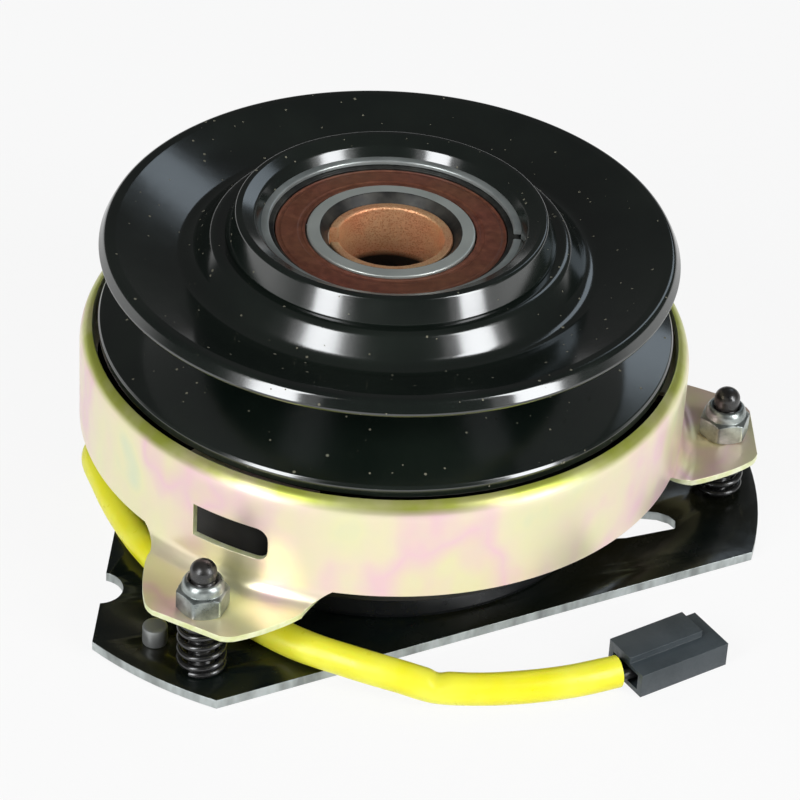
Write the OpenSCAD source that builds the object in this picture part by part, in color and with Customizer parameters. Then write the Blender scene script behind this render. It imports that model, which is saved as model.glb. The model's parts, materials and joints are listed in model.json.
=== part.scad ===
// Electromagnetic power take-off clutch and brake for a vertical engine shaft.
// Everything is in millimetres. +Z runs up the shaft. Z = 0 is the underside of the
// mounting plate. The three adjusting studs stand at 0, 120 and 240 degrees.

/* [Shaft and sleeve] */
// Crankshaft diameter the clutch slides onto
shaft_d = 25.4; // [19.05:0.05:26]
// Width of the key slot
key_w = 6.35; // [4:0.05:7]
// Depth of the key slot in the rotor hub, from the shaft surface
key_depth = 3.2; // [2:0.1:4]
// Length of the sleeve inside the pulley bearing
sleeve_length = 25.2; // [20:0.2:26]
// How far the sleeve top sits below the bearing face
sleeve_drop = 1.8; // [0.5:0.1:4]

/* [Pulley bearing] */
// Bearing bore
brg_bore_d = 30; // [28:0.5:32]
// Bearing outside diameter
brg_od = 62; // [60:0.5:64]
// Bearing width
brg_w = 16; // [14:0.5:18]
// Ball diameter
brg_ball_d = 9.525; // [8:0.005:10]
// Number of balls
brg_balls = 9; // [7:1:10]

/* [Pulley] */
// Outside diameter of both belt flanges
pulley_od = 139.7; // [130:0.1:142]
// Distance between the flange edges
groove_w = 20.2; // [18:0.2:22]
// Diameter at the bottom of the belt groove
groove_root_d = 92; // [88:0.5:100]
// Tilt of each groove wall, in degrees
groove_angle = 18; // [15:0.5:20]
// Outside diameter of the raised collar
collar_od = 79; // [76:0.5:84]
// Height of the collar above the bearing face
collar_rise = 5; // [3:0.25:6]
// Thickness of the rim of each flange
flange_t = 3.2; // [2.5:0.1:4]

/* [Brake flange] */
// Outside diameter of the brake cup
cup_od = 148.6; // [146:0.2:160]
// Sheet thickness of the brake cup
cup_t = 1.6; // [1.2:0.1:2]
// Height of the cup wall, lip to lower edge
cup_h = 25.9; // [22:0.1:30]
// Width of each feeler window
window_w = 20; // [12:0.5:24]
// Height of each feeler window
window_h = 8.8; // [5:0.2:10]
// Distance from the cup wall out to each stud
stud_offset = 11.2; // [8:0.1:18]
// Half width of the outer edge of each ear
ear_half_w = 9.3; // [8:0.1:12]
// Length of each ear beyond its stud
ear_tip = 7.6; // [6:0.2:10]

/* [Mounting plate] */
// Plate thickness
plate_t = 2.5; // [2:0.1:4]
// Distance from the axis to each long straight edge
plate_inradius = 62.5; // [62:0.5:70]
// Plate beyond each stud
plate_tip = 10; // [9:0.5:15]
// Turn of the plate's outline against its studs
plate_turn = -5; // [-10:0.5:10]
// Radius of the anti-rotation notch
notch_r = 6; // [5:0.5:10]

/* [Studs and springs] */
// Stud diameter
stud_d = 6.35; // [5:0.05:8]
// Stud top above the plate underside
stud_top = 33; // [30:0.5:40]
// Wall of the locknut between the stud and each flat
nut_wall = 2.375; // [1.8:0.005:3.5]
// Height of the hexagon of the locknut
nut_hex_h = 5.5; // [4:0.1:7]
// Total height of the locknut
nut_h = 8.2; // [6:0.1:10]
// Outside diameter of each compression spring
spring_od = 12; // [10:0.2:13]
// Spring wire diameter
spring_wire = 1.6; // [1:0.1:2]

/* [Field and rotor] */
// Outside diameter of the field shell
shell_od = 112; // [108:0.5:113]
// Height of the field shell above the plate
shell_h = 25; // [20:0.5:26]
// Outside diameter of the rotor skirt
rotor_od = 128; // [124:0.5:134]
// Air gap between armature and rotor when released
air_gap = 0.5; // [0.3:0.05:0.8]
// Armature thickness
armature_t = 5; // [3:0.25:6]
// Height of the friction face of the rotor
rotor_face_z = 34.5; // [33:0.1:36]

/* [Lead] */
// Diameter of the yellow lead sleeve
lead_d = 8; // [6:0.25:9]
// Connector length
conn_l = 25; // [22:0.5:30]
// Connector width
conn_w = 13.5; // [13:0.5:18]
// Connector height
conn_h = 8.25; // [8:0.25:12]

/* [Hidden] */
$fn = 96;

eps = 0.01;
// running clearance, measured on the radius
run_c = 0.05;
// clearance of a part laid into its seat
seat_c = 0.02;

// main heights
brg_top = 77;
brg_bot = brg_top - brg_w;
collar_top = brg_top + collar_rise;
rim_hi_z = brg_top - 4.8;
rim_lo_z = rim_hi_z - groove_w;
lip_z = 49.9;
cup_bot = lip_z - cup_h;
ear_top = cup_bot - 4;
ear_bot = ear_top - cup_t - 0.2;
arm_bot = rotor_face_z + air_gap;
arm_top = arm_bot + armature_t;
web_bot = arm_top + 4;
web_top = web_bot + 3;

// main radii
shaft_r = shaft_d / 2;
sleeve_r = brg_bore_d / 2;
brg_r = brg_od / 2;
pulley_r = pulley_od / 2;
root_r = groove_root_d / 2;
collar_r = collar_od / 2;
cup_r = cup_od / 2;
shell_r = shell_od / 2;
rotor_r = rotor_od / 2;
stud_r = stud_d / 2;
stud_circle_r = cup_r + stud_offset;
nut_af = stud_d + 2 * nut_wall;
hub_r = 20;
wall_in = cup_r - cup_t;
pitch_r = (brg_bore_d + brg_od) / 4;
slope = tan(groove_angle);
plate_tip_r = stud_circle_r + plate_tip;

module ring2(ro, ri) { difference() { circle(r = ro); circle(r = ri); } }
module ring(ro, ri, z0, z1) { translate([0, 0, z0]) linear_extrude(z1 - z0) ring2(ro, ri); }
module rod(r, z0, z1) { translate([0, 0, z0]) cylinder(r = r, h = z1 - z0); }
module thrice() { for (a = [0, 120, 240]) rotate([0, 0, a]) children(); }
// flat sector between two angles, wide enough for radius r
module wedge2(a0, a1, r) {
  polygon([[0, 0], [r * cos(a0), r * sin(a0)], [1.2 * r * cos((a0 + a1) / 2), 1.2 * r * sin((a0 + a1) / 2)],
    [r * cos(a1), r * sin(a1)]]);
}

// tube swept along a list of points; every ring is square to the path
function unit(v) = v / norm(v);
function dir_at(p, i) = unit(p[min(i + 1, len(p) - 1)] - p[max(i - 1, 0)]);
function side_at(p, i) = unit(cross([0, 0, 1], dir_at(p, i)));
function up_at(p, i) = cross(dir_at(p, i), side_at(p, i));
module tube(p, r, n) {
  m = len(p);
  pts = [for (i = [0 : m - 1]) for (k = [0 : n - 1])
    p[i] + r * (cos(360 * k / n) * side_at(p, i) + sin(360 * k / n) * up_at(p, i))];
  faces = concat([[for (k = [0 : n - 1]) k]],
    [for (i = [0 : m - 2]) for (k = [0 : n - 1]) for (h = [0, 1])
      let (a = i * n + k, b = i * n + (k + 1) % n, c = b + n, d = a + n)
      h == 0 ? [a, d, b] : [b, d, c]],
    [[for (k = [n - 1 : -1 : 0]) (m - 1) * n + k]]);
  polyhedron(points = pts, faces = faces);
}

// ---------------------------------------------------------------- mounting plate
// Pressed steel triangle with its three corners cut to an arc beyond each stud and a round
// notch in its left edge. The outline is turned a little against the studs.
module plate_outline() rotate([0, 0, plate_turn]) difference() {
  intersection() {
    circle(r = plate_tip_r);
    circle(r = 2 * plate_inradius, $fn = 3);
  }
  translate(notch_p) circle(r = notch_r);
}
plate_bore_r = 28;
pin_az = 230.77;
pin_p = (stud_circle_r - 0.43) * [cos(pin_az), sin(pin_az)];
notch_p = [-(plate_inradius + 1.2), -51.7];
// D-shaped opening in the plate, beside the two studs the lead does not pass
module plate_opening() {
  translate([stud_circle_r, 0]) polygon([[-28.5, -22], [-24.5, -21.5], [-12, -17.2], [-11.7, -14.2],
    [-13.1, -12.2], [-15.9, -10.8], [-19.5, -10.4], [-23.5, -11.2], [-27, -13.4]]);
}
module mounting_plate() color([0.08, 0.08, 0.08]) {
  difference() {
    linear_extrude(plate_t) difference() {
      plate_outline();
      circle(r = plate_bore_r);
      for (a = [0, 120]) rotate([0, 0, a]) plate_opening();
    }
    thrice() translate([stud_circle_r, 0, 0]) {
      rod(stud_r, -eps, plate_t + eps);
      rod(stud_r + 1.2, -eps, 1);
    }
    for (a = [30, 150, 270]) rotate([0, 0, a]) translate([rivet_circle_r, 0, 0]) {
      rod(2, -eps, plate_t + eps);
      rod(3.2, -eps, 0.8);
    }
    translate(pin_p) rod(2, -eps, plate_t + eps);
  }
}

// Threaded studs, pressed into the plate from below with a flush head, domed on top.
module mounting_studs() color([0.1, 0.1, 0.1]) thrice() translate([stud_circle_r, 0, 0])
  rotate_extrude() polygon([[0, 0.1], [stud_r + 1.2, 0.1], [stud_r + 1.2, 1], [stud_r, 1],
    [stud_r, stud_top - 1.6], [stud_r - 0.35, stud_top - 1], [stud_r - 1, stud_top - 0.4],
    [stud_r - 2, stud_top - 0.1], [0, stud_top]]);

// Short grey pin standing on the plate beside the notch.
module stop_pin() color([0.55, 0.56, 0.55]) translate(pin_p) {
  rod(2, 0.1, plate_t);
  rod(3, plate_t, plate_t + 5);
}

// ---------------------------------------------------------------- field assembly
// Steel channel that holds the coil: floor, outer wall and inner bearing tube.
shell_wall = 3.5;
shell_floor = 4;
shell_z = plate_t;
shell_top = plate_t + shell_h;
fb_or = 26;
fb_ir = hub_r;
fb_w = 7;
fb_z = 8;
tube_r = 30;
rivet_circle_r = tube_r + 11;
lead_z = 7.8;
lead_az = 172;
module field_shell() color([0.1, 0.1, 0.1]) difference() {
  rotate_extrude() polygon([
    [fb_or - 1, shell_z], [shell_r - 1.5, shell_z], [shell_r - 0.4, shell_z + 0.5],
    [shell_r, shell_z + 1.6], [shell_r, shell_top - 0.5], [shell_r - 0.5, shell_top],
    [shell_r - shell_wall, shell_top], [shell_r - shell_wall, shell_z + shell_floor],
    [tube_r, shell_z + shell_floor], [tube_r, shell_top], [fb_or, shell_top],
    [fb_or, fb_z], [fb_or - 1, fb_z]]);
  for (a = [30, 150, 270]) rotate([0, 0, a]) translate([rivet_circle_r, 0, 0]) {
    rod(2, 0, shell_z + shell_floor + 1);
  }
  rotate([0, 0, lead_az]) translate([shell_r - shell_wall - 1, 0, lead_z]) rotate([0, 90, 0])
    cylinder(r = lead_d / 2 + 0.8, h = shell_wall + 3);
  ring(fb_or + 0.8, fb_or - 2, fb_z + fb_w + 0.1, fb_z + fb_w + 1.3);
}

// Flush rivets through the plate and the floor of the shell.
module field_rivets() color([0.35, 0.35, 0.34]) for (a = [30, 150, 270]) rotate([0, 0, a])
  translate([rivet_circle_r, 0, 0]) {
    rod(2, 0.1, shell_z + shell_floor + 0.3);
    rod(3.2, 0.1, 0.8);
    rod(3, shell_z + shell_floor, shell_z + shell_floor + 0.8);
  }

// Moulded spool with two cheeks.
bob_ri = tube_r + 0.2;
bob_ro = shell_r - shell_wall - 0.3;
bob_z0 = shell_z + shell_floor + 1;
bob_z1 = shell_top - 2.5;
module coil_bobbin() color([0.75, 0.74, 0.68]) rotate_extrude() polygon([
  [bob_ri, bob_z0], [bob_ro, bob_z0], [bob_ro, bob_z0 + 1.2], [bob_ri + 1.2, bob_z0 + 1.2],
  [bob_ri + 1.2, bob_z1 - 1.2], [bob_ro, bob_z1 - 1.2], [bob_ro, bob_z1], [bob_ri, bob_z1]]);

// Enamelled copper winding packed between the cheeks.
module coil_winding() color([0.62, 0.3, 0.12])
  ring(bob_ro - 1, bob_ri + 1.2, bob_z0 + 1.2, bob_z1 - 1.2);

// Epoxy cap that closes the channel above the spool.
module coil_potting() color([0.13, 0.1, 0.08])
  ring(shell_r - shell_wall, tube_r, bob_z1, shell_top - 0.4);

// Rubber bushing where the lead leaves the shell.
module lead_grommet() color([0.1, 0.1, 0.1]) rotate([0, 0, lead_az])
  translate([0, 0, lead_z]) rotate([0, 90, 0]) difference() {
    union() {
      translate([0, 0, shell_r - shell_wall - 0.2]) cylinder(r = lead_d / 2 + 0.75, h = shell_wall + 0.6);
      translate([0, 0, shell_r + 0.15]) cylinder(r = lead_d / 2 + 1.2, h = 1.4);
    }
    translate([0, 0, shell_r - shell_wall - 2]) cylinder(r = lead_d / 2 + seat_c, h = shell_wall + 6);
  }

// Thin ball bearing that carries the field on the rotor hub.
fb_pitch = (fb_or + fb_ir) / 2;
fb_ball_d = 3.5;
fb_mid = fb_z + fb_w / 2;
fb_n = 20;
module groove_ring(ro, ri, z0, z1, pr, zc, br) rotate_extrude() difference() {
  translate([ri, z0]) square([ro - ri, z1 - z0]);
  translate([pr, zc]) circle(r = br);
}
module field_bearing_outer_ring() color([0.7, 0.71, 0.72])
  groove_ring(fb_or, fb_pitch + 1.1, fb_z, fb_z + fb_w, fb_pitch, fb_mid, fb_ball_d / 2 + 0.03);
module field_bearing_inner_ring() color([0.7, 0.71, 0.72])
  groove_ring(fb_pitch - 1.1, fb_ir, fb_z, fb_z + fb_w, fb_pitch, fb_mid, fb_ball_d / 2 + 0.03);
module field_bearing_balls() color([0.8, 0.8, 0.82]) for (i = [0 : fb_n - 1])
  rotate([0, 0, 360 * i / fb_n]) translate([fb_pitch, 0, fb_mid]) sphere(d = fb_ball_d);
module field_bearing_cage() color([0.6, 0.5, 0.3]) difference() {
  ring(fb_pitch + 0.7, fb_pitch - 0.7, fb_mid + 0.3, fb_mid + 2.8);
  for (i = [0 : fb_n - 1]) rotate([0, 0, 360 * i / fb_n]) translate([fb_pitch, 0, fb_mid])
    sphere(d = fb_ball_d + 0.1);
}
// Spring steel ring that keeps the field bearing in its tube.
module field_bearing_clip() color([0.3, 0.3, 0.32]) difference() {
  ring(fb_or + 0.6, fb_or - 1.6, fb_z + fb_w + 0.15, fb_z + fb_w + 1.25);
  translate([fb_or - 4, -3, fb_z]) cube([8, 6, fb_w + 4]);
}

// ---------------------------------------------------------------- rotor
// Turned steel hub with a pole disc; the skirt hangs outside the field shell.
rotor_skirt_ri = shell_r + 1.5;
rotor_disc_z = shell_top + 1;
rotor_bot = 0;
skirt_bot = 14;
cb_z = brg_top - sleeve_drop - sleeve_length;
pocket_z = rotor_face_z - 2;
fric_ri = tube_r + 11;
fric_ro = shell_r - 9;
module keyway(r1, z0, z1) translate([-r1, -key_w / 2, z0]) cube([r1, key_w, z1 - z0]);
module rotor() color([0.2, 0.2, 0.2]) difference() {
  rotate_extrude() polygon([
    [shaft_r, rotor_bot], [hub_r - 1.5, rotor_bot], [hub_r - 1, rotor_bot + 0.6],
    [hub_r - 1, fb_z - 0.6], [hub_r, fb_z - 0.5], [hub_r, fb_z + fb_w + 0.2],
    [hub_r + 1.5, fb_z + fb_w + 0.2], [hub_r + 2.5, fb_z + fb_w + 3], [hub_r + 4, shell_top],
    [hub_r + 5, rotor_disc_z], [rotor_skirt_ri, rotor_disc_z], [rotor_skirt_ri, skirt_bot],
    [rotor_r - 0.6, skirt_bot], [rotor_r, skirt_bot + 0.6], [rotor_r, rotor_face_z - 0.6],
    [rotor_r - 0.6, rotor_face_z], [hub_r + 9, rotor_face_z], [hub_r + 8, rotor_face_z - 2],
    [hub_r + 1, rotor_face_z - 2], [hub_r, rotor_face_z], [hub_r, brg_bot - 0.5],
    [hub_r - 0.5, brg_bot], [sleeve_r, brg_bot], [sleeve_r, cb_z], [shaft_r, cb_z]]);
  ring(fric_ro, fric_ri, pocket_z, rotor_face_z + 1);
  for (k = [0 : 2]) rotate([0, 0, 120 * k]) translate([0, 0, rotor_disc_z - 1])
    linear_extrude(rotor_face_z - rotor_disc_z + 2) intersection() {
      ring2(tube_r + 7, tube_r + 4.5);
      wedge2(-50, 50, 60);
    }
  for (k = [0 : 2]) rotate([0, 0, 60 + 120 * k]) translate([0, 0, rotor_disc_z - 1])
    linear_extrude(rotor_face_z - rotor_disc_z + 2) intersection() {
      ring2(shell_r - 2.5, shell_r - 5);
      wedge2(-50, 50, 80);
    }
  keyway(shaft_r + key_depth, rotor_bot - 1, brg_bot + 1);
}
// Friction ring pressed into the pole face.
module friction_ring() color([0.25, 0.2, 0.16])
  ring(fric_ro, fric_ri, pocket_z, rotor_face_z - 0.05);

// Copper-coloured sleeve between the shaft and the bearing, slotted for the key.
sleeve_z0 = cb_z;
sleeve_z1 = brg_top - sleeve_drop;
module keyed_sleeve() color([0.72, 0.42, 0.26]) difference() {
  rotate_extrude() polygon([[shaft_r, sleeve_z0], [sleeve_r, sleeve_z0],
    [sleeve_r, sleeve_z1 - 0.6], [sleeve_r - 0.6, sleeve_z1], [shaft_r + 0.6, sleeve_z1],
    [shaft_r, sleeve_z1 - 0.6]]);
  keyway(sleeve_r + 1, sleeve_z0 - 1, sleeve_z1 + 1);
}

// ---------------------------------------------------------------- pulley bearing
brg_mid = brg_top - brg_w / 2;
race_i = pitch_r - 2.8;
race_o = pitch_r + 3.9;
seal_ro = brg_r - 3;
seal_in = 0.45;
seal_t = 0.9;
ball_gr = brg_ball_d / 2 + 0.04;
module bearing_inner_ring() color([0.74, 0.75, 0.74]) rotate_extrude() difference() {
  polygon([[sleeve_r + 0.6, brg_bot], [race_i - 0.2, brg_bot], [race_i, brg_bot + 0.2],
    [race_i, brg_top - 0.2], [race_i - 0.2, brg_top], [sleeve_r + 0.8, brg_top],
    [sleeve_r, brg_top - 0.8], [sleeve_r, brg_bot + 0.6]]);
  translate([pitch_r, brg_mid]) circle(r = ball_gr);
}
module bearing_outer_ring() color([0.72, 0.73, 0.72]) rotate_extrude() difference() {
  polygon([[race_o, brg_bot + seal_in + seal_t], [seal_ro, brg_bot + seal_in + seal_t],
    [seal_ro, brg_bot], [brg_r - 0.8, brg_bot], [brg_r, brg_bot + 0.8],
    [brg_r, brg_top - 0.8], [brg_r - 0.8, brg_top], [seal_ro, brg_top],
    [seal_ro, brg_top - seal_in - seal_t], [race_o, brg_top - seal_in - seal_t]]);
  translate([pitch_r, brg_mid]) circle(r = ball_gr);
}
module bearing_balls() color([0.82, 0.82, 0.84]) for (i = [0 : brg_balls - 1])
  rotate([0, 0, 360 * i / brg_balls]) translate([pitch_r, 0, brg_mid]) sphere(d = brg_ball_d);
module bearing_cage() color([0.66, 0.66, 0.64]) difference() {
  ring(pitch_r + 1.3, pitch_r - 1.3, brg_mid + 0.6, brg_mid + 5.6);
  for (i = [0 : brg_balls - 1]) rotate([0, 0, 360 * i / brg_balls])
    translate([pitch_r, 0, brg_mid]) sphere(d = brg_ball_d + 0.2);
}
// Moulded rubber seals, held in the outer ring.
module bearing_seal_top() color([0.42, 0.2, 0.16])
  ring(seal_ro, race_i + run_c, brg_top - seal_in - seal_t, brg_top - seal_in);
module bearing_seal_bottom() color([0.42, 0.2, 0.16])
  ring(seal_ro, race_i + run_c, brg_bot + seal_in, brg_bot + seal_in + seal_t);

// Snap ring in a groove above the outer ring, with a gap for fitting.
clip_z = brg_top + 0.05;
clip_t = 1.2;
clip_groove = 0.9;
module retaining_ring() color([0.6, 0.61, 0.6]) rotate([0, 0, -5]) difference() {
  ring(brg_r + clip_groove - 0.2, brg_r - 2.4, clip_z, clip_z + clip_t);
  translate([brg_r - 6, -2, clip_z - 1]) cube([10, 4, clip_t + 2]);
}

// ---------------------------------------------------------------- pulley
// Turned hub with the raised collar; the bearing seats inside it on a lip.
hub_or = collar_r + 0.1;
strap_r = collar_r - 1;
web_ri = collar_r - 6.5;
cone_hi = rim_hi_z - slope * (pulley_r - root_r);
cone_lo = rim_lo_z + slope * (pulley_r - root_r);
module pulley_hub() color([0.06, 0.065, 0.07]) difference() {
  rotate_extrude() polygon([
    [brg_r - 2.5, brg_bot - 3], [brg_r - 2.5, brg_bot], [brg_r, brg_bot],
    [brg_r, clip_z + clip_t + 0.4], [collar_r - 3.7, collar_top], [collar_r - 2.9, collar_top],
    [collar_r - 2.3, collar_top - 0.3], [collar_r - 1.9, collar_top - 0.9], [hub_or, collar_top - 5.6],
    [hub_or, web_top], [collar_r - 3.5, web_top], [collar_r - 3.5, brg_bot - 3]]);
  ring(brg_r + clip_groove, brg_r - 1, clip_z - 0.01, clip_z + clip_t + 0.1);
}

// Upper belt flange and dish, pressed over the hub up to the crease below the collar.
dish_z = rim_hi_z + flange_t + 0.4;
dish_in = rim_hi_z - slope * (pulley_r - root_r - 5) + flange_t + 0.3;
module pulley_upper_flange() color([0.06, 0.065, 0.07]) rotate_extrude() polygon([
  [hub_or, cone_lo], [hub_or, collar_top - 6.1],
  [hub_or + 0.6, collar_top - 6], [hub_or + 2.2, collar_top - 6.2],
  [hub_or + 3.8, collar_top - 6.8], [hub_or + 5.2, collar_top - 7.9],
  [hub_or + 6.4, collar_top - 9.5], [hub_or + 7.6, collar_top - 11],
  [hub_or + 9, dish_in + 0.2], [hub_or + 11.2, dish_in - 0.1],
  [pulley_r - 3.4, dish_z - 0.5], [pulley_r - 2.6, dish_z - 0.1], [pulley_r - 1.7, dish_z - 0.5],
  [pulley_r - 0.7, rim_hi_z + 1.9], [pulley_r - 0.15, rim_hi_z + 0.9], [pulley_r, rim_hi_z],
  [pulley_r - 0.3, rim_hi_z - 0.5], [root_r, cone_hi], [root_r, cone_lo]]);

// Lower belt flange, turned down at its centre into a web for the drive rivets.
module pulley_lower_flange() color([0.06, 0.065, 0.07]) difference() {
  rotate_extrude() polygon([
    [hub_or, web_top], [hub_or, cone_lo], [root_r, cone_lo],
    [pulley_r - 0.4, rim_lo_z + 0.1], [pulley_r, rim_lo_z - 0.5], [pulley_r, rim_lo_z - 2.4],
    [pulley_r - 0.5, rim_lo_z - flange_t + 0.1], [pulley_r - 1.2, rim_lo_z - flange_t],
    [root_r + 4, rim_lo_z - flange_t + slope * (pulley_r - 5.2 - root_r)],
    [root_r + 2.5, rim_lo_z + 0.5], [root_r + 2.2, web_bot + 0.8], [root_r + 1.4, web_bot],
    [web_ri, web_bot], [web_ri, web_top]]);
  for (a = strap_az) rotate([0, 0, a]) translate([strap_r, 0, 0]) rod(2, web_bot - 1, web_top + 1);
}

// Rivets that hold the leaf springs to the pulley web.
leaf_t = 0.8;
strap_az = [20, 140, 260];
strap_l = 20;
module drive_rivets() color([0.5, 0.5, 0.48]) for (a = strap_az) rotate([0, 0, a])
  translate([strap_r, 0, 0]) {
    rod(2, web_bot - leaf_t - 0.6, web_top - 0.02);
    rod(3.4, web_bot - leaf_t - 1.3, web_bot - leaf_t);
  }

// Three spring steel straps, cranked down from the pulley web to the armature.
module leaf_strap() {
  x1 = strap_l;
  translate([strap_r, 0, 0]) rotate([90, 0, 90]) translate([0, 0, -5]) linear_extrude(10)
    polygon([[-5, web_bot - leaf_t], [-5, web_bot], [7, web_bot], [x1 - 6, arm_top + leaf_t],
      [x1 + 5, arm_top + leaf_t], [x1 + 5, arm_top], [x1 - 6.3, arm_top], [6.7, web_bot - leaf_t]]);
}
module leaf_springs() color([0.45, 0.46, 0.48]) for (a = strap_az) rotate([0, 0, a]) difference() {
  leaf_strap();
  for (y = [0, strap_l]) translate([strap_r, y, 0]) rod(2.05, arm_top - 1, web_bot + 1);
}

// Rivets that hold the other end of each strap to the armature.
module armature_rivets() color([0.5, 0.5, 0.48]) for (a = strap_az) rotate([0, 0, a])
  translate([strap_r, strap_l, 0]) {
    rod(2, arm_bot + 1.2, arm_top + leaf_t + 0.6);
    rod(3.4, arm_top + leaf_t, arm_top + leaf_t + 1.2);
  }

// Flat steel disc that the coil pulls down onto the rotor.
arm_r = wall_in - 2.7;
module armature_plate() color([0.32, 0.31, 0.3]) difference() {
  rotate_extrude() polygon([[30, arm_bot], [arm_r - 0.5, arm_bot], [arm_r, arm_bot + 0.5],
    [arm_r, arm_top - 0.5], [arm_r - 0.5, arm_top], [30, arm_top]]);
  for (a = strap_az) rotate([0, 0, a]) translate([strap_r, strap_l, 0])
    rod(2, arm_bot + 1.2, arm_top + 1);
  for (k = [0 : 2]) rotate([0, 0, 120 * k]) translate([0, 0, arm_bot - 1])
    linear_extrude(armature_t + 2) intersection() {
      ring2(56.5, 54);
      wedge2(-48, 48, 90);
    }
}

// ---------------------------------------------------------------- brake flange
// Plated sheet cup with a rounded shoulder, three ears and three feeler windows.
module ear_outline() {
  w = ear_root_w;
  polygon([[cup_r - 14, -w], [cup_r - 1, -w], [cup_r + 2, 0.7 - w], [stud_circle_r - 3, -19],
    [stud_circle_r + 3, -15], [stud_circle_r + ear_tip - 1, -ear_half_w - 0.8],
    [stud_circle_r + ear_tip, -ear_half_w + 1], [stud_circle_r + ear_tip, ear_half_w - 1],
    [stud_circle_r + ear_tip - 1, ear_half_w + 0.8], [stud_circle_r + 3, 15],
    [stud_circle_r - 3, 19], [cup_r + 2, w - 0.7], [cup_r - 1, w], [cup_r - 14, w]]);
}
ear_fillet = 4;
ear_root_w = 22;
module brake_flange() color([0.83, 0.8, 0.62]) difference() {
  union() {
    rotate_extrude() polygon([
      [cup_r - 2.8, lip_z], [cup_r - 1.8, lip_z - 0.4], [cup_r - 1, lip_z - 1.2],
      [cup_r - 0.4, lip_z - 2.4], [cup_r - 0.1, lip_z - 3.7], [cup_r, lip_z - 5.1],
      [cup_r, cup_bot + 0.3], [cup_r - 0.3, cup_bot], [wall_in + 0.3, cup_bot],
      [wall_in, cup_bot + 0.3], [wall_in, lip_z - 5.9], [wall_in - 0.05, lip_z - 4.7],
      [wall_in - 0.3, lip_z - 3.3], [wall_in - 0.7, lip_z - 2.3], [cup_r - 2.8, lip_z - 1.7]]);
    thrice() {
      translate([0, 0, ear_bot]) linear_extrude(ear_top - ear_bot) difference() {
        ear_outline();
        circle(r = wall_in);
      }
      intersection() {
        rotate_extrude() polygon([[wall_in, ear_bot], [wall_in, cup_bot + 1], [cup_r, cup_bot + 1],
          [cup_r + 0.15, ear_top + ear_fillet - 1.2], [cup_r + 0.6, ear_top + ear_fillet - 2.2],
          [cup_r + 1.5, ear_top + 0.7], [cup_r + 2.8, ear_top + 0.15], [cup_r + ear_fillet, ear_top],
          [cup_r + ear_fillet, ear_bot]]);
        translate([0, 0, ear_bot]) linear_extrude(20) polygon([[0, 0], [cup_r - 0.3, 1.5 - ear_root_w],
          [cup_r + 14, 1.5 - ear_root_w], [cup_r + 14, ear_root_w - 1.5],
          [cup_r - 0.3, ear_root_w - 1.5]]);
      }
    }
  }
  thrice() {
    translate([stud_circle_r, 0, 0]) rod(stud_r + 0.3, ear_bot - 1, ear_top + 1);
    translate([cup_r - 14, 0, cup_bot + 5 + window_h / 2]) rotate([90, 0, 90])
      linear_extrude(28) window2();
  }
}
// feeler window: square corners at one end, rounded at the other
module window2() {
  w = window_w;
  h = window_h;
  union() {
    translate([-w / 2, -h / 2]) square([w - 3, h]);
    translate([-w / 2, -h / 2 + 3]) square([w, h - 6]);
    translate([w / 2 - 3, h / 2 - 3]) circle(r = 3);
    translate([w / 2 - 3, -h / 2 + 3]) circle(r = 3);
  }
}

// Angle brackets welded inside the cup, one above each window.
brk_bot = arm_top + 3;
brk_t = 2;
module brk_sector(a) { wedge2(-a, a, 120); }
module brake_brackets() color([0.62, 0.6, 0.5]) thrice() {
  translate([0, 0, brk_bot]) linear_extrude(brk_t - 0.9) intersection() {
    ring2(wall_in - 0.8, wall_in - 9.5);
    brk_sector(15);
  }
  translate([0, 0, brk_bot - 4]) linear_extrude(brk_t + 2.9) intersection() {
    ring2(wall_in - 0.01, wall_in - 1.4);
    brk_sector(15);
  }
}
// Friction segments bonded under the brackets; they hold the released armature still.
module brake_linings() color([0.28, 0.22, 0.18]) thrice()
  translate([0, 0, arm_top + run_c]) linear_extrude(brk_bot - arm_top - run_c) intersection() {
    ring2(wall_in - 1.8, wall_in - 9.2);
    brk_sector(14);
  }

// ---------------------------------------------------------------- springs and nuts
// Compression springs between the plate and the ears, closed at both ends.
sp_r = spring_od / 2 - spring_wire / 2;
sp_lo = plate_t + spring_wire / 2 + seat_c;
sp_hi = ear_bot - spring_wire / 2 - seat_c;
sp_turns = 5.5;
sp_seg = 14;
sp_pitch0 = spring_wire * 1.06;
function sp_h(t) = t < 1 ? sp_pitch0 * t
  : t > sp_turns - 1 ? (sp_hi - sp_lo) - sp_pitch0 * (sp_turns - t)
  : sp_pitch0 + (t - 1) * ((sp_hi - sp_lo) - 2 * sp_pitch0) / (sp_turns - 2);
module adjust_springs() color([0.07, 0.07, 0.07]) thrice() translate([stud_circle_r, 0, sp_lo]) {
  tube([for (i = [0 : sp_turns * sp_seg]) let (t = i / sp_seg)
    [sp_r * cos(360 * t), sp_r * sin(360 * t), sp_h(t)]], spring_wire / 2, 8);
}

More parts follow.
